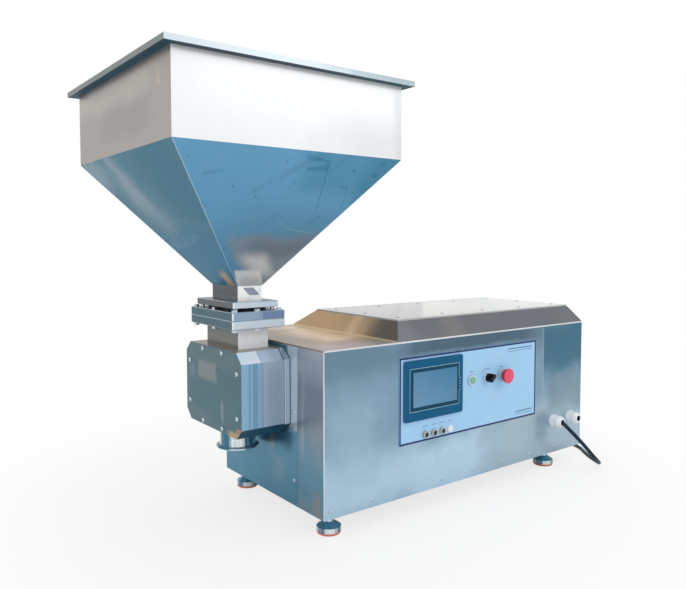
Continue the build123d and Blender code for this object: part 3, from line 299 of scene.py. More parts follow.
upright_grain = (30, 30, 0.8)
level_grain = (0.8, 0.8, 30)
lengthwise_grain = (0.8, 30, 30)


def steel(name, lit_tones, patches=(), grain=upright_grain, rough=0.32, clouds=0.07, grain_depth=0.05, specks=0.0,
          metallic=0.65, gleam=0.0, polish=None, relief=0.05, smears=0.0, marks=(), specular=0.5):
    """Brushed stainless steel: a painted tone of light and shade for each side, painted reflections and shade in
    patches, a painted highlight where a face turns from left to front, grain, clouds and handling marks.

    Polish gives a side its own share of metal, down to 0 for one that mirrors nothing.
    """
    material, tree, bsdf = start_material(name)
    colour = srgb(*lit_tones["all"])
    for side, lit_side_tone in lit_tones.items():
        if side != "all":
            colour = mix(tree, facing(tree, side), colour, srgb(*lit_side_tone))
    # A painted highlight where a face turns from the left side to the front, as on a bent edge.
    if gleam:
        colour = mix(tree, calc(tree, "MULTIPLY", facing(tree, "left_front"), gleam), colour, srgb(240, 245, 248))
    if patches:
        colour = lay_patches(tree, colour, patches)
    cloud = noise(tree, 4.5, 4.0, 0.6)
    colour = tone(tree, colour, cloud, clouds)
    blotch = noise(tree, 22.0, 3.0, 0.8)
    colour = tone(tree, colour, blotch, 0.5 * clouds)
    streak = noise(tree, 14.0, 5.0, 0.0, grain)
    colour = tone(tree, colour, streak, grain_depth)
    if specks:
        colour = lay_specks(tree, colour, specks)
    if smears:
        colour = lay_smears(tree, colour, smears)
    if marks:
        colour = lay_marks(tree, colour, marks)
    tree.links.new(colour, bsdf.inputs["Base Color"])
    roughness = calc(tree, "ADD", calc(tree, "MULTIPLY", cloud, 0.14), rough - 0.07)
    tree.links.new(calc(tree, "ADD", roughness, calc(tree, "MULTIPLY", streak, 0.06)), bsdf.inputs["Roughness"])
    shine = metallic
    for side, share in (polish or {}).items():
        mask = facing(tree, side)
        kept = calc(tree, "MULTIPLY", calc(tree, "SUBTRACT", 1.0, mask), shine)
        shine = calc(tree, "ADD", kept, calc(tree, "MULTIPLY", mask, share))
    feed(tree, bsdf, "Metallic", shine)
    bsdf.inputs["Specular IOR Level"].default_value = specular
    bump(tree, bsdf, streak, relief, 0.0004)
    return material


def sheet_steel():
    """Front, back and right sheets, with painted reflections: the front is painted lighter below, darker along its top
    and teal at its upper right, with a painted highlight on its bent left edge and on the seam at the right.
    """
    lit_tones = {"all": (146, 166, 180), "front": (132, 164, 186), "left": (142, 152, 164), "right": (152, 170, 184),
             "back": (150, 166, 178)}
    patches = [
        patch((108, 138, 158), "front", z=(0.315, 0.40, 0.035), amount=0.9),
        patch((68, 94, 112), "front", x=(0.27, 0.74, 0.06), z=(0.352, 0.40, 0.006), amount=0.75),
        patch((192, 220, 238), "front", x=(-0.10, 0.56, 0.10), z=(-0.02, 0.125, 0.05), amount=0.9),
        patch((176, 198, 210), "front", x=(0.56, 1.10, 0.10), z=(-0.02, 0.150, 0.05), amount=0.9),
        patch((160, 190, 210), "front", x=(0.0, 0.16, 0.05), z=(0.05, 0.26, 0.05), amount=0.6),
        patch((58, 112, 138), "front", x=(0.790, 1.0, 0.004), z=(0.235, 0.40, 0.05), amount=0.92),
        patch((124, 148, 162), "front", x=(0.815, 1.0, 0.02), z=(0.12, 0.23, 0.03), amount=0.6),
        patch((178, 202, 214), "front", x=(0.7885, 0.7915, 0.0012), z=(0.15, 0.40, 0.04), amount=0.5),
        patch((104, 138, 158), "front", x=(0.755, 0.815, 0.02), z=(0.05, 0.13, 0.02), amount=0.5),
        patch((178, 182, 190), "left", z=(0.32, 0.40, 0.03), amount=0.8),
        patch((94, 148, 172), "left", z=(-0.02, 0.15, 0.06), amount=0.85),
        patch((160, 148, 138), "left", y=(0.012, 0.040, 0.010), z=(-0.01, 0.055, 0.02), amount=0.55),
        patch((176, 184, 192), "left", y=(0.078, 0.090, 0.006), z=(0.12, 0.38, 0.04), amount=0.5),
    ]
    return steel("sheet_steel", lit_tones, patches, level_grain, 0.30, 0.12, 0.09, gleam=0.9, smears=0.3)


def end_steel():
    """The thick plate that carries the valve: painted shade where the valve shades it, painted reflections beside and
    below the valve, and a dark seam line.
    """
    lit_tones = {"all": (128, 150, 164), "left": (90, 146, 172)}
    patches = [
        patch((216, 226, 234), "left", y=(0.10, 0.150, 0.006), z=(0.18, 0.40, 0.015), amount=0.9),
        patch((18, 82, 106), "left", y=(0.128, 0.42, 0.02), z=(0.128, 0.180, 0.018), amount=0.85),
        patch((118, 156, 172), "left", y=(0.16, 0.22, 0.02), z=(0.04, 0.10, 0.02), amount=0.6),
        patch((150, 142, 136), "left", y=(0.21, 0.235, 0.006), z=(0.11, 0.15, 0.012), amount=0.5),
        patch((40, 84, 104), "left", y=(0.1050, 0.1078, 0.0006), z=(-0.02, 0.235, 0.03), amount=0.9),
    ]
    return steel("end_steel", lit_tones, patches, rough=0.28, clouds=0.18, smears=0.6, relief=0.03)


def deck_steel():
    # The deck's colours are painted reflections: pinkish brown on its top, a cream patch near the hood, and a painted
    # highlight along the fold at the hood's foot.
    lit_tones = {"all": (176, 178, 180), "up": (172, 152, 138), "front": (226, 230, 232), "left": (150, 140, 130)}
    patches = [
        patch((170, 162, 172), "up", y=(-0.01, 0.070, 0.03), amount=0.6),
        patch((250, 226, 192), "up", x=(0.10, 0.23, 0.06), y=(0.12, 0.47, 0.05), amount=0.85),
        patch((204, 184, 172), "up", x=(0.02, 0.075, 0.012), y=(0.03, 0.09, 0.02), amount=0.4),
        patch((250, 230, 198), "up", x=(0.2150, 0.23, 0.0014), amount=0.9),
    ]
    return steel("deck_steel", lit_tones, patches, lengthwise_grain, 0.28, clouds=0.10)


def hood_steel():
    """The folded hood, with painted reflections: its left slope mirrors the hopper in painted tan, with a painted
    highlight along the fold at its foot, and its front slope is painted grey.
    """
    lit_tones = {"all": (150, 152, 156), "up": (206, 206, 202), "front_up": (113, 117, 122),
             "left_up": (190, 162, 126), "right_up": (140, 142, 146), "back_up": (140, 144, 150),
             "front": (232, 236, 238)}
    patches = [
        patch((104, 99, 93), "left_up", y=(-0.01, 0.115, 0.035), amount=0.85),
        patch((222, 192, 152), "left_up", y=(0.175, 0.215, 0.018), amount=0.7),
        patch((204, 168, 124), "left_up", y=(0.26, 0.43, 0.03), amount=0.6),
        patch((240, 212, 172), "left_up", z=(0.380, 0.3878, 0.0008), amount=0.6),
        patch((134, 131, 130), "front_up", x=(0.40, 0.47, 0.02), amount=0.6),
        patch((128, 132, 138), "front_up", x=(0.22, 0.30, 0.02), amount=0.6),
        patch((106, 112, 124), "front_up", x=(0.62, 0.86, 0.05), amount=0.5),
    ]
    return steel("hood_steel", lit_tones, patches, lengthwise_grain, 0.28)


def bin_steel():
    """The square bin, with painted light and shade: a warm painted reflection on the left side, a nearly white front,
    a darker strip at its right edge and painted shade on the rim's underside.
    """
    lit_tones = {"all": (222, 226, 230), "left": (176, 170, 166), "front": (244, 246, 248), "right": (206, 212, 216),
             "back": (196, 204, 210), "down": (44, 62, 76)}
    patches = [
        patch((158, 154, 154), "left", y=(0.10, 0.42, 0.06), z=(0.850, 0.925, 0.02), amount=0.6),
        patch((170, 166, 160), "left", y=(0.30, 0.60, 0.05), z=(0.82, 0.86, 0.02), amount=0.5),
        patch((196, 190, 182), "left", y=(0.10, 0.60, 0.05), z=(0.93, 0.99, 0.02), amount=0.6),
        patch((204, 190, 166), "left", y=(0.052, 0.066, 0.005), z=(0.932, 0.952, 0.006), amount=0.6),
        patch((198, 186, 170), "left", y=(0.058, 0.072, 0.004), z=(0.958, 0.970, 0.004), amount=0.5),
        patch((128, 138, 138), "left", x=(-0.42, -0.355, 0.002), amount=0.95),
        patch((228, 230, 233), "front", x=(0.02, 0.30, 0.10), z=(0.80, 0.90, 0.04), amount=0.6),
        patch((214, 217, 221), "front", x=(0.205, 0.24, 0.016), amount=0.6),
        patch((212, 224, 232), "front", y=(-0.05, -0.010, 0.001), amount=0.95),
        patch((160, 176, 184), "front", x=(0.08, 0.40, 0.12), y=(-0.05, -0.010, 0.001), amount=0.9),
    ]
    return steel("bin_steel", lit_tones, patches, rough=0.32, clouds=0.04, grain_depth=0.025, metallic=0.85,
                 polish={"front": 0.5}, relief=0.015, specular=0.3)


def rim_shade():
    """The rim's underside, dark from the shade between the lip and the wall."""
    patches = [
        patch((14, 70, 92), x=(-0.40, -0.349, 0.001), amount=0.9),
        patch((8, 74, 80), x=(0.08, 0.60, 0.14), amount=0.9),
    ]
    return steel("rim_shade", {"all": (44, 62, 76)}, patches, lengthwise_grain, metallic=0.0, relief=0.02,
                 specular=0.05)


def cone_steel():
    """The four-sided taper and its throat, with painted light and shade on each face and the machine painted as a
    reflection low on the front.
    """
    lit_tones = {"all": (132, 158, 176), "front_down": (108, 166, 202), "left_down": (58, 118, 140),
             "front": (250, 252, 254), "left": (94, 100, 104), "left_up": (170, 182, 190),
             "right_up": (176, 188, 196), "front_up": (180, 190, 198), "back_up": (164, 178, 186)}
    along_weld = (0, 2, -0.70)
    patches = [
        patch((84, 146, 178), "front_down", x=(-0.02, 0.26, 0.05), z=(0.74, 0.86, 0.03), amount=0.7),
        patch((72, 134, 164), "front_down", x=(0.14, 0.26, 0.04), amount=0.7),
        patch((106, 164, 198), "front_down", z=(0.56, 0.70, 0.03), amount=0.6),
        patch((146, 162, 176), "front_down", x=(0.281, 2.0, 0.018), z=(0.50, 0.640, 0.015), amount=0.9,
              lean=along_weld),
        patch((122, 140, 160), "front_down", x=(0.33, 2.0, 0.03), z=(0.590, 0.632, 0.016), amount=0.7,
              lean=along_weld),
        patch((232, 240, 244), "front_down", x=(0.300, 0.365, 0.026), z=(0.540, 0.594, 0.018), amount=0.9,
              lean=along_weld),
        patch((254, 255, 255), "front_down", x=(0.216, 0.286, 0.004), z=(0.50, 0.5575, 0.005), amount=0.95,
              lean=(0, 2, -0.60)),
        patch((206, 212, 216), "front_down", x=(0.225, 0.275, 0.010), z=(0.50, 0.540, 0.008), amount=0.5,
              lean=(0, 2, -0.60)),
        patch((28, 108, 134), "left_down", y=(0.06, 0.24, 0.05), z=(0.64, 0.82, 0.06), amount=0.8),
        patch((148, 164, 182), "left_down", y=(0.345, 0.425, 0.045), z=(0.70, 0.83, 0.045), amount=0.75),
        patch((120, 148, 168), "left_down", y=(0.30, 0.38, 0.05), z=(0.62, 0.72, 0.04), amount=0.6),
        patch((150, 170, 182), "left_down", y=(0.46, 0.60, 0.05), z=(0.76, 0.84, 0.03), amount=0.6),
        patch((4, 108, 146), "left_down", z=(0.50, 0.640, 0.04), amount=0.9),
        patch((196, 164, 126), "left_down", y=(0.222, 0.262, 0.012), z=(0.515, 0.552, 0.010), amount=0.75),
        patch((132, 142, 162), "front", x=(0.4055, 0.4345, 0.001), z=(0.4985, 0.5172, 0.0008), amount=0.9,
              lean=(0, 2, -0.94)),
        patch((120, 128, 134), "left", z=(0.480, 0.497, 0.004), amount=0.6),
    ]
    light = (186, 212, 226)
    marks = [
        mark("front", (-0.040, 0.811), (-0.006, 0.806), 0.0060, amount=0.5),
        mark("front", (-0.012, 0.808), (0.030, 0.803), 0.0036, amount=0.6),
        mark("front", (-0.028, 0.785), (0.004, 0.789), 0.0046, amount=0.6),
        mark("front", (-0.002, 0.788), (0.028, 0.793), 0.0075, amount=0.5),
        mark("front", (0.020, 0.803), (0.028, 0.786), 0.0040, amount=0.5),
        mark("front", (0.027, 0.800), (0.034, 0.760), 0.0011),
        mark("front", (0.034, 0.760), (0.040, 0.698), 0.0011),
        mark("front", (0.076, 0.757), (0.104, 0.751), 0.0011),
        mark("front", (0.104, 0.751), (0.111, 0.706), 0.0010),
        mark("front", (0.160, 0.785), (0.174, 0.781), 0.0050),
        mark("front", (0.172, 0.811), (0.186, 0.806), 0.0040),
        mark("front", (0.098, 0.793), (0.106, 0.787), 0.0025),
        mark("front", (-0.059, 0.743), (-0.037, 0.762), 0.0014, amount=0.4),
        mark("front", (-0.268, 0.763), (-0.219, 0.772), 0.0040, amount=0.25),
        mark("front", (-0.307, 0.793), (-0.305, 0.790), 0.0016),
        mark("front", (-0.192, 0.744), (-0.190, 0.740), 0.0016),
        mark("front", (-0.130, 0.726), (-0.127, 0.722), 0.0018),
        mark("front", (-0.068, 0.688), (-0.065, 0.685), 0.0018),
        mark("front", (-0.018, 0.688), (-0.015, 0.686), 0.0016),
        mark("front", (-0.082, 0.799), (-0.080, 0.794), 0.0018),
        mark("front", (-0.250, 0.709), (-0.247, 0.705), 0.0016),
        mark("front", (-0.053, 0.675), (-0.016, 0.657), 0.0014, light, 0.3),
        mark("front", (-0.016, 0.657), (0.062, 0.647), 0.0014, light, 0.4),
        mark("left", (0.302, 0.574), (0.280, 0.557), 0.0012, (14, 78, 112)),
        mark("left", (0.284, 0.562), (0.244, 0.550), 0.0011, (14, 78, 112)),
        mark("left", (0.262, 0.590), (0.250, 0.562), 0.0012, (14, 78, 112)),
    ]
    return steel("cone_steel", lit_tones, patches, upright_grain, 0.32, 0.08, 0.03,
                 polish={"front": 0.95, "left_down": 0.3}, relief=0.02, smears=0.7, marks=marks,
                 specular=0.2)


def block_patches():
    """Painted reflections and painted shade shared by the valve block and its cover."""
    return [
        patch((250, 251, 252), "front_up", x=(-0.14, -0.0790, 0.001), amount=0.95),
        patch((196, 208, 222), "front_up", x=(-0.0785, -0.0200, 0.001), amount=0.95),
        patch((158, 176, 198), "front_up", x=(-0.050, -0.0200, 0.014), amount=0.8),
        patch((10, 84, 112), "front_down", amount=0.95),
        patch((168, 150, 132), "up", amount=0.8),
    ]


def block_steel():
    """The valve block, with painted reflections: light blue at the left of its front, grey at the right, and a thin
    painted highlight.
    """
    lit_tones = {"all": (160, 176, 190), "left": (86, 118, 132), "front": (122, 164, 192), "back": (140, 160, 176),
             "down": (20, 90, 118)}
    patches = block_patches() + [
        patch((186, 204, 220), "front", x=(-0.0727, 0.01, 0.0012), amount=0.95),
        patch((166, 204, 230), "front", x=(-0.088, -0.0745, 0.003), amount=0.6),
        patch((158, 196, 222), "front", x=(-0.106, -0.1005, 0.0015), amount=0.6),
        patch((236, 242, 246), "front", x=(-0.0155, -0.013, 0.0006), amount=0.7),
    ]
    return steel("block_steel", lit_tones, patches, rough=0.26, clouds=0.10, grain_depth=0.02, relief=0.015,
                 smears=0.3)


def cover_steel():
    """The valve's cover plate, teal with painted reflections and painted shade, and a soft painted reflection of light
    at its upper left.
    """
    lit_tones = {"all": (150, 170, 186), "left": (74, 110, 122), "front": (140, 184, 212), "down": (16, 88, 116)}
    patches = block_patches() + [
        patch((92, 120, 126), "left", z=(0.325, 0.38, 0.01), amount=0.7),
        patch((136, 144, 144), "left", y=(0.267, 0.366, 0.008), z=(0.290, 0.333, 0.008), amount=0.75),
        patch((112, 134, 144), "left", y=(0.385, 0.412, 0.006), z=(0.280, 0.316, 0.01), amount=0.6),
        patch((58, 110, 122), "left", y=(0.24, 0.40, 0.03), z=(0.225, 0.275, 0.02), amount=0.6),
        patch((92, 116, 124), "left", y=(0.30, 0.44, 0.04), z=(0.17, 0.215, 0.02), amount=0.6),
        patch((150, 166, 168), "left", y=(0.229, 0.241, 0.005), z=(0.200, 0.245, 0.012), amount=0.5),
        patch((196, 164, 108), "left", y=(0.135, 0.205, 0.012), z=(0.165, 0.186, 0.005), amount=0.8),
        patch((206, 136, 100), "left", y=(0.135, 0.165, 0.006), z=(0.187, 0.197, 0.003), amount=0.6),
    ]
    return steel("cover_steel", lit_tones, patches, rough=0.24, clouds=0.14, grain_depth=0.03, relief=0.008,
                 smears=0.4)


def plate_steel():
    """The flange pair and the hopper's base plate: each edge has its own painted reflection, the undersides painted
    shade, with a painted highlight where a face turns from left to front.
    """
    lit_tones = {"all": (176, 192, 206), "left": (78, 108, 120), "front": (206, 220, 232), "up": (150, 148, 146),
             "down": (60, 96, 112)}
    patches = [
        patch((104, 105, 104), "left", z=(0.468, 0.490, 0.0008), amount=0.9),
        patch((140, 166, 192), "front", x=(-0.14, -0.056, 0.001), z=(0.4434, 0.4637, 0.0004), amount=0.9),
        patch((92, 122, 164), "front", x=(-0.056, 0.02, 0.006), z=(0.4434, 0.4637, 0.0004), amount=0.85),
        patch((206, 220, 242), "front", x=(-0.047, -0.012, 0.006), z=(0.468, 0.490, 0.0008), amount=0.8),
        patch((66, 108, 116), "left", y=(0.30, 0.36, 0.02), z=(0.42, 0.4637, 0.001), amount=0.5),
    ]
    return steel("plate_steel", lit_tones, patches, level_grain, 0.26, 0.08, 0.04, gleam=0.95, relief=0.012)


def neck_steel():
    # The neck's colours are painted light and shade: white on the front and painted shade at the top of its left side,
    # under the flange.
    lit_tones = {"all": (200, 208, 216), "left": (124, 126, 122), "front": (250, 252, 255)}
    patches = [
        patch((84, 112, 118), "left", z=(0.405, 0.43, 0.006), amount=0.7),
        patch((226, 232, 240), "front", z=(0.36, 0.385, 0.006), amount=0.5),
    ]
    return steel("neck_steel", lit_tones, patches, level_grain, 0.16, gleam=0.8, metallic=0.8,
                 polish={"front": 0.0}, relief=0.02, specular=0.3)


def banded_metal(name, dark, bright, top, lightness):
    """Turned metal whose upright side has painted bright and dark bands, a painted reflection of a room as a round
    part mirrors it, and a painted tone on its slopes.
    """
    material, tree, bsdf = start_material(name)
    split = add(tree, "SeparateXYZ")
    tree.links.new(add(tree, "TexCoord").outputs["Normal"], split.inputs[0])
    turn = calc(tree, "ARCTAN2", split.outputs[1], split.outputs[0])
    wave = lightness
    for beats, start, share in ((4, 3.46, 0.9), (13, 1.3, 0.35), (29, 0.2, 0.30)):
        beat = calc(tree, "SINE", calc(tree, "ADD", calc(tree, "MULTIPLY", turn, beats), start))
        wave = calc(tree, "ADD", calc(tree, "MULTIPLY", beat, share), wave)
    colour = mix(tree, spread(tree, wave, -0.5, 0.6), srgb(*dark), srgb(*bright))
    slope = spread(tree, calc(tree, "ABSOLUTE", split.outputs[2]), 0.3, 0.5)
    colour = mix(tree, slope, colour, srgb(*top))
    wear = noise(tree, 160.0, 3.0)
    tree.links.new(tone(tree, colour, wear, 0.06), bsdf.inputs["Base Color"])
    tree.links.new(spread(tree, wear, 0.3, 0.7, 0.16, 0.28), bsdf.inputs["Roughness"])
    bsdf.inputs["Metallic"].default_value = 0.6
    bump(tree, bsdf, wear, 0.05, 0.0002)
    return material


def polished(name, colour, rough=0.12):
    """Turned or plated metal with fine rings of wear."""
    material, tree, bsdf = start_material(name)
    result = tone(tree, srgb(*colour), noise(tree, 90.0, 4.0, 0.3), 0.08)
    tree.links.new(result, bsdf.inputs["Base Color"])
    wear = noise(tree, 160.0, 3.0)
    tree.links.new(calc(tree, "ADD", calc(tree, "MULTIPLY", wear, 0.12), rough - 0.04), bsdf.inputs["Roughness"])
    bsdf.inputs["Metallic"].default_value = 1.0
    bump(tree, bsdf, wear, 0.05, 0.0002)
    return material


# Plastics, rubber and glass

def moulded(name, colour, rough=0.45, grain=900.0, depth=0.12, variation=0.06, coat=0.0, face=None,
            gloss=0.3):
    """Moulded plastic or rubber with a fine skin texture and slight unevenness. A face colour paints the front faces
    lighter or darker than the rest, as painted light and shade.
    """
    material, tree, bsdf = start_material(name)
    result = srgb(*colour)
    if face:
        result = mix(tree, facing(tree, "front"), result, srgb(*face))
    result = tone(tree, result, noise(tree, 30.0, 3.0), variation)
    tree.links.new(result, bsdf.inputs["Base Color"])
    skin = noise(tree, grain, 2.0)
    tree.links.new(calc(tree, "ADD", calc(tree, "MULTIPLY", skin, 0.12), rough - 0.06), bsdf.inputs["Roughness"])
    bsdf.inputs["Coat Weight"].default_value = coat
    bsdf.inputs["Specular IOR Level"].default_value = gloss
    bump(tree, bsdf, skin, depth, 0.0002)
    return material


def socket_plastic():
    """Dark inserts, and white for the cap at the right of the row."""
    material, tree, bsdf = start_material("socket_plastic")
    white = spread(tree, from_corner(tree, 0), 0.3840, 0.3845)
    colour = mix(tree, white, srgb(40, 38, 40), srgb(236, 240, 240))
    colour = tone(tree, colour, noise(tree, 60.0, 3.0), 0.05)
    tree.links.new(colour, bsdf.inputs["Base Color"])
    skin = noise(tree, 700.0, 2.0)
    tree.links.new(spread(tree, skin, 0.3, 0.7, 0.36, 0.50), bsdf.inputs["Roughness"])
    bump(tree, bsdf, skin, 0.10, 0.0002)
    return material


def gland_nylon():
    """White nylon with the black rubber seal in the mouth of each gland."""
    material, tree, bsdf = start_material("gland_nylon")
    middle = sum(gland_columns) / 2
    half_gap = (gland_columns[1] - gland_columns[0]) / 2
    aside = calc(tree, "ABSOLUTE", calc(tree, "SUBTRACT", from_corner(tree, 0), middle))
    aside = calc(tree, "SUBTRACT", aside, half_gap)
    upward = calc(tree, "SUBTRACT", from_corner(tree, 2), gland_z)
    squares = calc(tree, "ADD", calc(tree, "MULTIPLY", aside, aside), calc(tree, "MULTIPLY", upward, upward))
    seal = spread(tree, calc(tree, "SQRT", squares), gland_seal_radius - 0.0002, gland_seal_radius + 0.0002,
                  1.0, 0.0)
    colour = mix(tree, seal, srgb(248, 250, 254), srgb(18, 26, 34))
    tree.links.new(tone(tree, colour, noise(tree, 60.0, 3.0), 0.04), bsdf.inputs["Base Color"])
    skin = noise(tree, 500.0, 2.0)
    tree.links.new(spread(tree, skin, 0.3, 0.7, 0.34, 0.46), bsdf.inputs["Roughness"])
    bump(tree, bsdf, skin, 0.10, 0.0002)
    return material


def acrylic():
    """The clear lid, with painted reflections: a dim room at its left and a bright one at its right."""
    material, tree, bsdf = start_material("clear_lid")
    haze = noise(tree, 25.0, 4.0, 0.5, (1, 0.3, 1))
    colour = mix(tree, haze, srgb(240, 242, 238), srgb(228, 234, 232))
    slanting = (0, 1, 0.965)
    reflections = [
        patch((150, 147, 150), "up", x=(-0.50, 0.302, 0.012), lean=slanting, amount=0.8),
        patch((128, 126, 128), "up", x=(0.180, 0.216, 0.008), lean=slanting, amount=0.5),
        patch((188, 170, 166), "up", x=(0.040, 0.120, 0.020), y=(0.12, 0.34, 0.03), lean=slanting, amount=0.4),
        patch((240, 236, 226), "up", x=(0.302, 0.568, 0.012), lean=slanting, amount=0.6),
        patch((190, 214, 226), "up", x=(0.568, 0.598, 0.008), lean=slanting, amount=0.5),
    ]
    colour = lay_patches(tree, colour, reflections)
    tree.links.new(colour, bsdf.inputs["Base Color"])
    tree.links.new(spread(tree, haze, 0.4, 0.8, 0.04, 0.12), bsdf.inputs["Roughness"])
    bsdf.inputs["Transmission Weight"].default_value = 0.45
    bsdf.inputs["Specular IOR Level"].default_value = 0.2
    bsdf.inputs["IOR"].default_value = 1.49
    return material


def screen_film():
    """The screen's film, a little lighter towards its lower left corner."""
    material, tree, bsdf = start_material("screen_glass")
    across = spread(tree, from_corner(tree, 0), 0.26, 0.42)
    upward = spread(tree, from_corner(tree, 2), 0.22, 0.31)
    blend = calc(tree, "MULTIPLY", calc(tree, "ADD", across, upward), 0.5)
    colour = mix(tree, blend, srgb(108, 150, 184), srgb(68, 130, 168))
    colour = tone(tree, colour, noise(tree, 12.0, 2.0), 0.05)
    tree.links.new(colour, bsdf.inputs["Base Color"])
    tree.links.new(spread(tree, noise(tree, 40.0, 3.0), 0.3, 0.7, 0.16, 0.26), bsdf.inputs["Roughness"])
    bsdf.inputs["Specular IOR Level"].default_value = 0.2
    return material


bright_steel = polished("bright_steel", (206, 216, 224), 0.18)
ferrule_metal = banded_metal("ferrule_metal", (66, 122, 146), (246, 250, 252), (150, 190, 206), 0.1)
foot_metal = banded_metal("foot_metal", (96, 140, 160), (246, 250, 252), (96, 164, 196), 0.35)
ground_steel = polished("ground_steel", (198, 202, 206), 0.16)
gear_metal = polished("gear_metal", (134, 138, 142), 0.28)
chrome = polished("chrome", (216, 224, 232), 0.10)
nickel = polished("nickel", (200, 196, 186), 0.18)
weld_metal = polished("weld_metal", (176, 206, 222), 0.34)
machined = steel("machined", {"all": (196, 200, 204)}, rough=0.36)
black_rubber = moulded("black_rubber", (16, 22, 28), 0.55, 700.0, 0.15, 0.08)
cord_rubber = moulded("cord_rubber", (6, 42, 62), 0.38, 700.0, 0.10, 0.08, 0.1, gloss=0.2)
pad_rubber = moulded("pad_rubber", (232, 124, 98), 0.5, 500.0, 0.15, 0.10)
black_plastic = moulded("black_plastic", (10, 20, 32), 0.34, 900.0, 0.10, 0.06, 0.1, gloss=0.2)
motor_black = moulded("motor_black", (30, 31, 34), 0.40, 500.0, 0.10, 0.06)
bezel_plastic = moulded("bezel_plastic", (70, 100, 144), 0.40, 800.0, 0.08, 0.06, 0.0, (4, 90, 130), 0.15)
surround_plastic = moulded("surround_plastic", (4, 66, 96), 0.40, 800.0, 0.08, 0.06, gloss=0.15)
device_grey = moulded("device_grey", (112, 118, 122), 0.5, 600.0, 0.12, 0.05)
seal_white = moulded("seal_white", (226, 226, 220), 0.4, 500.0, 0.08, 0.03)
red_plastic = moulded("red_plastic", (200, 26, 58), 0.34, 900.0, 0.06, 0.05, 0.1, (236, 80, 108))
green_plastic = moulded("green_plastic", (122, 190, 166), 0.34, 900.0, 0.06, 0.05, 0.1)
collar_plastic = moulded("collar_plastic", (172, 190, 208), 0.36, 800.0, 0.10, 0.05, 0.1)
panel_film = moulded("panel_film", (168, 213, 248), 0.42, 1200.0, 0.05, 0.02)
border_ink = moulded("border_ink", (30, 48, 104), 0.40, 1200.0, 0.05, 0.04)
line_ink = moulded("line_ink", (150, 190, 206), 0.4, 1200.0, 0.03, 0.03)
mark_ink = moulded("mark_ink", (96, 128, 172), 0.4, 1200.0, 0.03, 0.03)

node_looks = {
    sheet_steel(): ["front_panel", "rear_panel", "right_end_panel"],
    end_steel(): ["end_plate"],
    deck_steel(): ["deck_plate"],
    hood_steel(): ["top_hood"],
    machined: ["base_tray", "cylinder_brackets", "motor_bracket", "carriage", "shaft_coupling"],
    bin_steel(): ["hopper_bin"],
    cone_steel(): ["hopper_cone"],
    plate_steel(): ["hopper_base_plate", "flange_upper", "flange_lower"],
    neck_steel(): ["valve_neck"],
    block_steel(): ["valve_body"],
    cover_steel(): ["valve_cover"],
    ferrule_metal: ["outlet_ferrule"],
    bright_steel: ["flange_bolts"],
    ground_steel: ["guide_rods", "ball_screw", "thrust_tube", "ball_nut", "valve_drum", "product_cylinder",
                   "piston"],
    gear_metal: ["ring_gear", "valve_pinion"],
    black_rubber: ["hopper_seal"],
    seal_white: ["piston_seals"],
    motor_black: ["servo_motor", "valve_gearmotor"],
    device_grey: ["electrical_panel", "contact_blocks"],
    panel_film: ["control_panel"],
    bezel_plastic: ["hmi_unit"],
    screen_film(): ["hmi_screen"],
    chrome: ["button_bezels"],
    green_plastic: ["start_button"],
    black_plastic: ["selector_knob", "estop_plunger", "power_plug"],
    collar_plastic: ["estop_collar"],
    red_plastic: ["estop_head"],
    nickel: ["socket_shells"],
    socket_plastic(): ["socket_inserts"],
    gland_nylon(): ["gland_power", "gland_spare"],
    acrylic(): ["lid"],
}

for material, names in node_looks.items():
    for node_name in names:
        cad_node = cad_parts[node_name]
        for index in range(len(cad_node.material_slots)):
            cad_node.material_slots[index].material = material


# Camera, light and floor

def make_camera():
    data = bpy.data.cameras.new("camera")
    data.lens = camera_lens
    data.shift_y = camera_shift_y
    data.clip_end = 50
    camera = bpy.data.objects.new("camera", data)
    camera.location = corner + camera_place
    camera.rotation_euler = (math.pi / 2 + camera_tilt, 0, camera_turn)
    bpy.context.collection.objects.link(camera)
    bpy.context.scene.camera = camera


def make_lamp(name, location, target, size, energy):
    data = bpy.data.lights.new(name, "AREA")
    data.shape = "RECTANGLE"
    data.size, data.size_y = size
    data.energy = energy
    lamp = bpy.data.objects.new(name, data)
    lamp.location = location
    lamp.rotation_euler = (Vector(target) - Vector(location)).to_track_quat("-Z", "Y").to_euler()
    bpy.context.collection.objects.link(lamp)


def make_world():
    """White to the eye and through glass, even for light, and banded where polished metal mirrors it."""
    world = bpy.data.worlds.new("studio")
    bpy.context.scene.world = world
    world.use_nodes = True
    tree = world.node_tree
    tree.nodes.clear()
    split = add(tree, "SeparateXYZ")
    tree.links.new(add(tree, "TexCoord").outputs["Generated"], split.inputs[0])
    turn = calc(tree, "ARCTAN2", split.outputs[1], split.outputs[0])
    wave = calc(tree, "SINE", calc(tree, "ADD", calc(tree, "MULTIPLY", turn, 9.0), 0.6))
    wave = calc(tree, "ADD", wave, calc(tree, "MULTIPLY", calc(tree, "SINE", calc(tree, "MULTIPLY", turn, 23.0)), 0.6))
    bands = spread(tree, wave, -0.5, 0.5, 0.66, 1.04)
    ray = add(tree, "LightPath")
    mirrored = calc(tree, "MULTIPLY", ray.outputs["Is Glossy Ray"], bands)
    scattered = calc(tree, "MULTIPLY", calc(tree, "SUBTRACT", 1.0, ray.outputs["Is Glossy Ray"]), 0.80)
    seen = calc(tree, "MAXIMUM", ray.outputs["Is Camera Ray"], ray.outputs["Is Transmission Ray"])
    background = add(tree, "Background")
    tree.links.new(calc(tree, "MAXIMUM", seen, calc(tree, "ADD", mirrored, scattered)),
                   background.inputs["Strength"])
    background.inputs["Color"].default_value = (1, 1, 1, 1)
    output = add(tree, "OutputWorld")
    tree.links.new(background.outputs[0], output.inputs["Surface"])


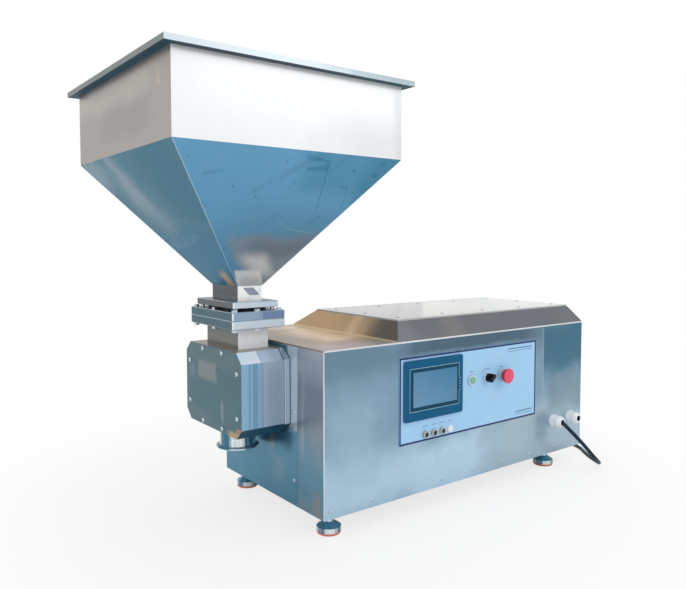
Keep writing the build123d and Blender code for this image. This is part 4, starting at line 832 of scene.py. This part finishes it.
def make_floor():
    """A pale floor that keeps the object's shadow and turns white away from it."""
    mesh = bpy.data.meshes.new("floor")
    half = 12.0
    mesh.from_pydata([(-half, -half, 0), (half, -half, 0), (half, half, 0), (-half, half, 0)], [], [(0, 1, 2, 3)])
    floor = bpy.data.objects.new("floor", mesh)
    bpy.context.collection.objects.link(floor)
    material, tree, bsdf = start_material("floor_white")
    bsdf.inputs["Base Color"].default_value = (0.90, 0.90, 0.90, 1)
    bsdf.inputs["Roughness"].default_value = 0.9
    glow = add(tree, "Emission")
    glow.inputs["Strength"].default_value = 1.0
    reach = add(tree, "VectorMath", operation="LENGTH")
    tree.links.new(add(tree, "TexCoord").outputs["Object"], reach.inputs[0])
    whiteness = spread(tree, reach.outputs["Value"], 0.6, 1.4, 0.75, 1.0)
    share = calc(tree, "MULTIPLY", add(tree, "LightPath").outputs["Is Camera Ray"], whiteness)
    blend = add(tree, "MixShader")
    feed(tree, blend, 0, share)
    tree.links.new(bsdf.outputs[0], blend.inputs[1])
    tree.links.new(glow.outputs[0], blend.inputs[2])
    tree.links.new(blend.outputs[0], tree.nodes["Material Output"].inputs["Surface"])
    mesh.materials.append(material)


make_camera()
make_world()
make_floor()
make_lamp("key_softbox", (1.6, -2.6, 2.4), (0, 0, 0.5), (2.2, 1.6), 16)
make_lamp("top_softbox", (-0.2, 0.2, 3.2), (0, 0, 0.4), (2.4, 1.8), 14)
make_lamp("left_strip", (-2.6, -0.4, 1.4), (-0.3, 0, 0.4), (0.7, 1.8), 5)


# Mesh helpers

def mesh_piece(name, verts, faces, material, body="base", smooth=False):
    mesh = bpy.data.meshes.new(name)
    mesh.from_pydata([tuple(v) for v in verts], [], faces)
    mesh.validate()
    mesh.materials.append(material)
    bm = bmesh.new()
    bm.from_mesh(mesh)
    bmesh.ops.remove_doubles(bm, verts=bm.verts, dist=1e-6)
    bmesh.ops.dissolve_degenerate(bm, edges=bm.edges, dist=1e-6)
    bmesh.ops.recalc_face_normals(bm, faces=bm.faces)
    bm.to_mesh(mesh)
    bm.free()
    for polygon in mesh.polygons:
        polygon.use_smooth = smooth
    if smooth:
        mesh.set_sharp_from_angle(angle=math.radians(35))
    piece = bpy.data.objects.new(name, mesh)
    bpy.context.collection.objects.link(piece)
    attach(piece, body)
    return piece


def ring_mesh(rings):
    """Vertices and faces of a closed skin over rings that have equal numbers of points."""
    verts = [point for ring in rings for point in ring]
    count = len(rings[0])
    faces = []
    for row in range(len(rings) - 1):
        for index in range(count):
            after = (index + 1) % count
            faces.append((row * count + index, row * count + after,
                          (row + 1) * count + after, (row + 1) * count + index))
    return verts, faces


def lathe(name, profile, centre, material, body="base", steps=64):
    """A solid turned from (radius, height) points about a vertical axis."""
    rings = []
    for radius, height in profile:
        rings.append([centre + Vector((radius * math.cos(2 * math.pi * step / steps),
                                       radius * math.sin(2 * math.pi * step / steps), height))
                      for step in range(steps)])
    return mesh_piece(name, *ring_mesh(rings), material, body, True)


def frame_strip(name, outer, inner, y_back, y_front, material):
    """A flat picture-frame strip on the front face, between two rectangles of x and z."""
    verts = []
    for y in (y_back, y_front):
        for x0, x1, z0, z1 in (outer, inner):
            verts += [place(x0, y, z0), place(x1, y, z0), place(x1, y, z1), place(x0, y, z1)]
    faces = []
    for side in range(4):
        after = (side + 1) % 4
        faces.append((side, after, 4 + after, 4 + side))
        faces.append((8 + side, 8 + after, 12 + after, 12 + side))
        faces.append((side, after, 8 + after, 8 + side))
        faces.append((4 + side, 4 + after, 12 + after, 12 + side))
    return mesh_piece(name, verts, faces, material)


def line_strip(name, route, width, y_back, y_front, material):
    """A thin raised line on the front face along a route of (x, z) points."""
    verts, faces = [], []
    for (x0, z0), (x1, z1) in zip(route, route[1:]):
        along = Vector((x1 - x0, 0, z1 - z0)).normalized() * (width / 2)
        across = Vector((-along.z, 0, along.x))
        start, end = Vector((x0, 0, z0)) - along, Vector((x1, 0, z1)) + along
        first = len(verts)
        for y in (y_back, y_front):
            for point in (start - across, end - across, end + across, start + across):
                verts.append(place(point.x, y, point.z))
        faces.append(tuple(first + index for index in (0, 1, 2, 3)))
        faces.append(tuple(first + index for index in (7, 6, 5, 4)))
        for index in range(4):
            after = (index + 1) % 4
            faces.append((first + index, first + after, first + 4 + after, first + 4 + index))
    return mesh_piece(name, verts, faces, material)


# Power cord

cord_diameter = 0.011
cord_z = floor_z + cord_diameter / 2
coil_centre = (0.895, 0.558)
coil_radius = 0.064
coil_turns = 3.5
coil_points_per_turn = 18
plug_nose_x = 0.9446
plug_z = floor_z + 0.013

cord_route = [
    (0.839, -0.035, 0.097),
    (0.839, -0.048, 0.088),
    (0.843, -0.063, 0.075),
    (0.854, -0.078, 0.056),
    (0.873, -0.088, 0.033),
    (0.891, -0.098, 0.009),
    (0.921, -0.100, -0.017),
    (0.976, -0.074, cord_z),
    (1.012, -0.014, cord_z),
    (1.040, 0.022, cord_z),
    (1.076, 0.064, cord_z),
    (1.098, 0.1395, cord_z),
    (1.092, 0.2344, cord_z),
    (1.078, 0.3236, cord_z),
    (1.052, 0.3962, cord_z),
    (1.014, 0.4520, cord_z),
    (0.958, 0.490, cord_z),
    (0.895, 0.494, cord_z),
]


def ease(value, low, high):
    share = min(max((value - low) / (high - low), 0), 1)
    return share * share * (3 - 2 * share)


def coil_points():
    """Turns that lie beside and on each other, from the tube's end to the plug."""
    step = cord_diameter / 2
    points = []
    total = int(coil_turns * coil_points_per_turn)
    for index in range(1, total + 1):
        turn = index / coil_points_per_turn
        radius = coil_radius + step * ease(turn, 0.0, 0.25)
        radius -= 2 * step * ease(turn, 0.9, 1.15)
        radius += 2 * step * ease(turn, 2.75, 3.0)
        radius -= step * ease(turn, 3.3, coil_turns)
        height = cord_z + 2 * step * ease(turn, 1.85, 2.1)
        angle = -math.pi / 2 - 2 * math.pi * turn
        points.append((coil_centre[0] + radius * math.cos(angle), coil_centre[1] + radius * math.sin(angle),
                       height))
    return points


def cord_points():
    points = [place(*point) for point in cord_route + coil_points()]
    points.append(place(0.920, coil_centre[1] + coil_radius, plug_z + 0.004))
    points.append(place(plug_nose_x + 0.004, coil_centre[1] + coil_radius, plug_z))
    return points


def make_cord(points):
    curve = bpy.data.curves.new("power_cord_line", "CURVE")
    curve.dimensions = "3D"
    curve.bevel_depth = cord_diameter / 2
    curve.bevel_resolution = 5
    curve.resolution_u = 10
    curve.use_fill_caps = True
    spline = curve.splines.new("NURBS")
    spline.points.add(len(points) - 1)
    for point, target in zip(spline.points, points):
        point.co = (*target, 1.0)
    spline.order_u = 3
    spline.use_endpoint_u = True
    curve.materials.append(cord_rubber)
    cord = bpy.data.objects.new("power_cord_line", curve)
    bpy.context.collection.objects.link(cord)
    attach(cord, "base")
    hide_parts("power_cord", "power_cord_coil")
    return cord


def make_tie():
    """A hook-and-loop strap round the bundle of turns."""
    angle = math.radians(200)
    width, thick, half = 0.014, 0.0012, cord_diameter
    radial = Vector((math.cos(angle), math.sin(angle), 0))
    along = Vector((-math.sin(angle), math.cos(angle), 0))
    centre = place(coil_centre[0], coil_centre[1], floor_z + half) + radial * coil_radius
    steps, squareness = 40, 0.35
    rings = []
    for reach, side in ((half, -1), (half + thick, -1), (half + thick, 1), (half, 1), (half, -1)):
        ring = []
        for step in range(steps):
            cosine, sine = math.cos(2 * math.pi * step / steps), math.sin(2 * math.pi * step / steps)
            across = math.copysign(abs(cosine) ** squareness, cosine) * reach
            upward = max(math.copysign(abs(sine) ** squareness, sine) * reach, -half + 0.0002)
            ring.append(centre + radial * across + along * side * width / 2 + Vector((0, 0, upward)))
        rings.append(ring)
    return mesh_piece("cord_tie", *ring_mesh(rings), black_rubber)


cord_line = cord_points()
power_cord = make_cord(cord_line)
cord_tie = make_tie()


# Levelling feet

feet = {
    "fl": ("foot_front_left", 0.043, 0.041),
    "fr": ("foot_front_right", 0.851, 0.041),
    "bl": ("foot_back_left", 0.043, 0.425),
    "br": ("foot_back_right", 0.851, 0.425),
}
foot_rim = 0.0288
foot_nut_low = 0.0397
foot_nut_high = 0.0477


def make_foot(key, node_name, x, y):
    centre = place(x, y, floor_z)
    body = "foot_" + key
    cone = [
        (0.0, 0.0052), (foot_rim - 0.0006, 0.0052), (foot_rim, 0.0058), (foot_rim, 0.0172),
        (foot_rim - 0.0006, 0.0178), (0.0262, 0.0182), (0.0200, 0.0232), (0.0140, 0.0272), (0.0120, 0.0290),
        (0.0116, 0.0310), (0.0116, foot_nut_low), (0.0, foot_nut_low),
    ]
    steel_cone = lathe("foot_cone_" + key, cone, centre, foot_metal, body)
    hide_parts(node_name)
    pad = [(0.0, 0.0), (0.0262, 0.0), (0.0284, 0.0022), (0.0290, 0.0042), (0.0286, 0.0050), (0.0270, 0.0052),
           (0.0, 0.0052)]
    rubber = lathe("foot_pad_" + key, pad, centre, pad_rubber, body)
    hexagon = []
    for height in (foot_nut_low, foot_nut_high):
        hexagon.append([centre + Vector((0.01385 * math.cos(math.radians(60 * side)),
                                         0.01385 * math.sin(math.radians(60 * side)), height))
                        for side in range(6)])
    middles = [[centre + Vector((0, 0, height))] * 6 for height in (foot_nut_low, foot_nut_high)]
    nut = mesh_piece("foot_nut_" + key, *ring_mesh([middles[0]] + hexagon + [middles[1]]), bright_steel, body)
    stud = lathe("foot_stud_" + key, [(0, 0.0470), (0.0078, 0.0470), (0.0078, 0.0690), (0.0068, 0.0700),
                                      (0, 0.0700)], centre, bright_steel, body)


for foot_key, (foot_node, foot_x, foot_y) in feet.items():
    make_foot(foot_key, foot_node, foot_x, foot_y)


# Screws with round heads and hexagon sockets

def screw_rings(centre, outward, radius, height, shank, depth):
    """Rings of one screw, from the end of its shank to the floor of its socket."""
    steps = 24
    side = Vector((0, 0, 1)) if abs(outward.z) < 0.5 else Vector((1, 0, 0))
    other = outward.cross(side)
    socket = 0.38 * radius
    profile = [
        (0.0, -depth), (shank, -depth), (shank, 0.0), (radius, 0.0), (radius, 0.28 * height),
        (0.93 * radius, 0.58 * height), (0.76 * radius, 0.86 * height), (0.54 * radius, height),
    ]
    rings = []
    for reach, rise in profile + [("hexagon", height), ("hexagon", 0.5 * height), (0.0, 0.5 * height)]:
        ring = []
        for step in range(steps):
            angle = 2 * math.pi * step / steps
            across = reach
            if reach == "hexagon":
                across = socket / math.cos((angle + math.pi / 6) % (math.pi / 3) - math.pi / 6)
            ring.append(centre + outward * rise + side * across * math.cos(angle)
                        + other * across * math.sin(angle))
        rings.append(ring)
    return rings


def make_screws(node_name, places, radius, height, shank, depth):
    """All screws of one node, as one piece. Each place is a point and the way its head faces."""
    verts, faces = [], []
    for point, outward in places:
        new_verts, new_faces = ring_mesh(screw_rings(place(*point), Vector(outward), radius, height, shank, depth))
        faces += [tuple(len(verts) + index for index in face) for face in new_faces]
        verts += new_verts
    screws = mesh_piece(node_name + "_heads", verts, faces, bright_steel, "base", True)
    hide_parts(node_name)


screw_row_z = 0.0175
screw_pitch = 0.118


def housing_screw_places():
    front = [((0.019 + index * screw_pitch, 0.0, screw_row_z), (0, -1, 0)) for index in range(9)]
    back = [((0.035 + index * screw_pitch, 0.466, screw_row_z), (0, 1, 0)) for index in range(8)]
    right = [((housing_length, y, screw_row_z), (1, 0, 0)) for y in (0.021, 0.233, 0.445)]
    left = [((0.0, y, z), (-1, 0, 0)) for y in (0.1205, 0.452) for z in (0.061, 0.225)]
    return front + back + right + left


def lid_screw_places():
    x_low, x_step, y_low, y_step = 0.296, 0.162, 0.086, 0.133
    places = []
    for row in range(3):
        for column in range(5):
            if row in (0, 2) or column in (0, 4):
                places.append(((x_low + column * x_step, y_low + row * y_step, 0.434), (0, 0, 1)))
    return places


def cover_screw_places():
    places = []
    for side_y in (-1, 1):
        for side_z in (-1, 1):
            for offset_y, offset_z in ((0.051, 0.091), (0.126, 0.052)):
                places.append(((-0.130, axis_y + side_y * offset_y, valve_z + side_z * offset_z), (-1, 0, 0)))
    return places


make_screws("housing_screws", housing_screw_places(), 0.0042, 0.0024, 0.002, 0.005)
make_screws("lid_screws", lid_screw_places(), 0.0042, 0.0024, 0.002, 0.006)
make_screws("cover_screws", cover_screw_places(), 0.0060, 0.0035, 0.004, 0.0295)


# Weld beads of the hopper and the valve's gasket

def make_bead(name, start, end, radius):
    """A slender weld bead between two points, rippled along its length."""
    along = (end - start).normalized()
    side = along.cross(Vector((0, 0, 1))).normalized()
    other = along.cross(side)
    count = int((end - start).length / 0.004)
    rings = []
    for index in range(count + 1):
        middle = start.lerp(end, index / count)
        swell = radius * (0.85 + 0.15 * math.sin(index * 1.9))
        if index in (0, count):
            swell = 0.0
        rings.append([middle + side * swell * math.cos(math.pi * step / 4)
                      + other * swell * math.sin(math.pi * step / 4) for step in range(8)])
    piece = mesh_piece(name, *ring_mesh(rings), weld_metal, "base", True)


def make_hopper_welds():
    for side_x in (-1, 1):
        for side_y in (-1, 1):
            low = place(hopper_x + side_x * throat_half[0], axis_y + side_y * throat_half[1], cone_low)
            high = place(hopper_x + side_x * bin_half, axis_y + side_y * bin_half, cone_high)
            key = ("left", "right")[side_x > 0] + "_" + ("front", "back")[side_y > 0]
            make_bead("cone_weld_" + key, low, high, 0.0011)


def make_rim_shade_sheet():
    """A dark sheet that stands for painted shade: it closes the rim from below, between its lip and the bin's walls,
    where the rim's recess lies in shade.
    """
    inner = bin_half - rim_sheet / 4
    outer = bin_half + rim_reach - 0.75 * rim_sheet
    low = hopper_top - rim_lip + 0.1 * rim_sheet
    high = low + rim_sheet
    rings = []
    for half, z in ((outer, low), (outer, high), (inner, high), (inner, low), (outer, low)):
        rings.append([place(hopper_x + side_x * half, axis_y + side_y * half, z)
                      for side_x, side_y in ((-1, -1), (1, -1), (1, 1), (-1, 1))])
    piece = mesh_piece("rim_shade_sheet", *ring_mesh(rings), rim_shade())


def make_gasket():
    """The black gasket between the valve block and the end plate, a little proud of the band."""
    half_y, half_z, cut = 0.149, 0.1024, 0.0248
    outline = [(-half_y + cut, -half_z), (half_y - cut, -half_z), (half_y, -half_z + cut), (half_y, half_z - cut),
               (half_y - cut, half_z), (-half_y + cut, half_z), (-half_y, half_z - cut), (-half_y, -half_z + cut)]
    rings = []
    for x, share in ((0.0, 0.97), (0.0, 1.0), (-0.0012, 1.0), (-0.0012, 0.97)):
        rings.append([place(x - 0.00002, axis_y + share * y, valve_z + share * z) for y, z in outline])
    rings.append(rings[0])
    piece = mesh_piece("valve_gasket", *ring_mesh(rings), black_rubber)


make_hopper_welds()
make_rim_shade_sheet()
make_gasket()


# Control panel print and operator screen

panel_face = -0.002
panel_print = panel_face - 0.0003
panel_outer = (0.2236, 0.7504, 0.1296, 0.3454)
panel_border = 0.0045
hmi_face = -0.008
hmi_print = hmi_face - 0.0003
selector_centre = (0.540, 0.2625)
button_columns = (0.479, 0.601)
socket_columns = [0.310 + 0.0295 * index for index in range(4)]
label_button_z = 0.2850
label_socket_z = 0.1670


def inset(rectangle, amount):
    x0, x1, z0, z1 = rectangle
    return (x0 + amount, x1 - amount, z0 + amount, z1 - amount)


def make_label_rules():
    """Plain rules where the labels go: over each button and socket, and two pairs at the right."""
    rules = [(x, label_button_z, 0.012, 0.0016) for x in button_columns]
    rules += [(x, label_socket_z, 0.014, 0.0014) for x in socket_columns]
    rules += [(0.680, 0.3305, 0.104, 0.0030), (0.680, 0.3235, 0.104, 0.0012)]
    rules += [(0.698, 0.1500, 0.070, 0.0030), (0.698, 0.1430, 0.070, 0.0012)]
    for number, (x, z, length, width) in enumerate(rules):
        route = [(x - length / 2, z), (x + length / 2, z)]
        rule = line_strip("label_rule_%02d" % number, route, width, panel_face, panel_print, mark_ink)


def make_panel_print():
    border = frame_strip("panel_border", panel_outer, inset(panel_outer, panel_border), panel_face, panel_print,
                         border_ink)
    arc = []
    for degrees in range(60, 150, 6):
        angle = math.radians(degrees)
        arc.append((selector_centre[0] + 0.0245 * math.cos(angle), selector_centre[1] + 0.0245 * math.sin(angle)))
    mark = line_strip("selector_arc", arc, 0.0009, panel_face, panel_print, mark_ink)
    make_label_rules()


def make_screen_print():
    """The dark surround of the screen, the line round it with its break, and three lamps."""
    screen = (0.264, 0.4185, 0.2195, 0.3065)
    left, right, low, high = 0.2525, 0.4250, 0.2095, 0.3160
    surround = frame_strip("screen_surround", (left, right, low, high), screen, hmi_face, hmi_face - 0.0001,
                           surround_plastic)
    break_x, break_low, break_high = 0.4315, 0.2460, 0.2755
    route = [(break_x, break_high), (right, break_high), (right, high), (left, high), (left, low), (right, low),
             (right, break_low), (break_x, break_low)]
    line = line_strip("bezel_line", route, 0.0013, hmi_face, hmi_print, line_ink)
    lamps = [line_strip("bezel_lamp_%d" % number, [(0.4277, z), (0.4289, z)], 0.0022, hmi_face, hmi_print,
                        line_ink) for number, z in enumerate((0.2680, 0.2608, 0.2536))]


make_panel_print()
make_screen_print()

bpy.context.scene.view_settings.view_transform = "Standard"
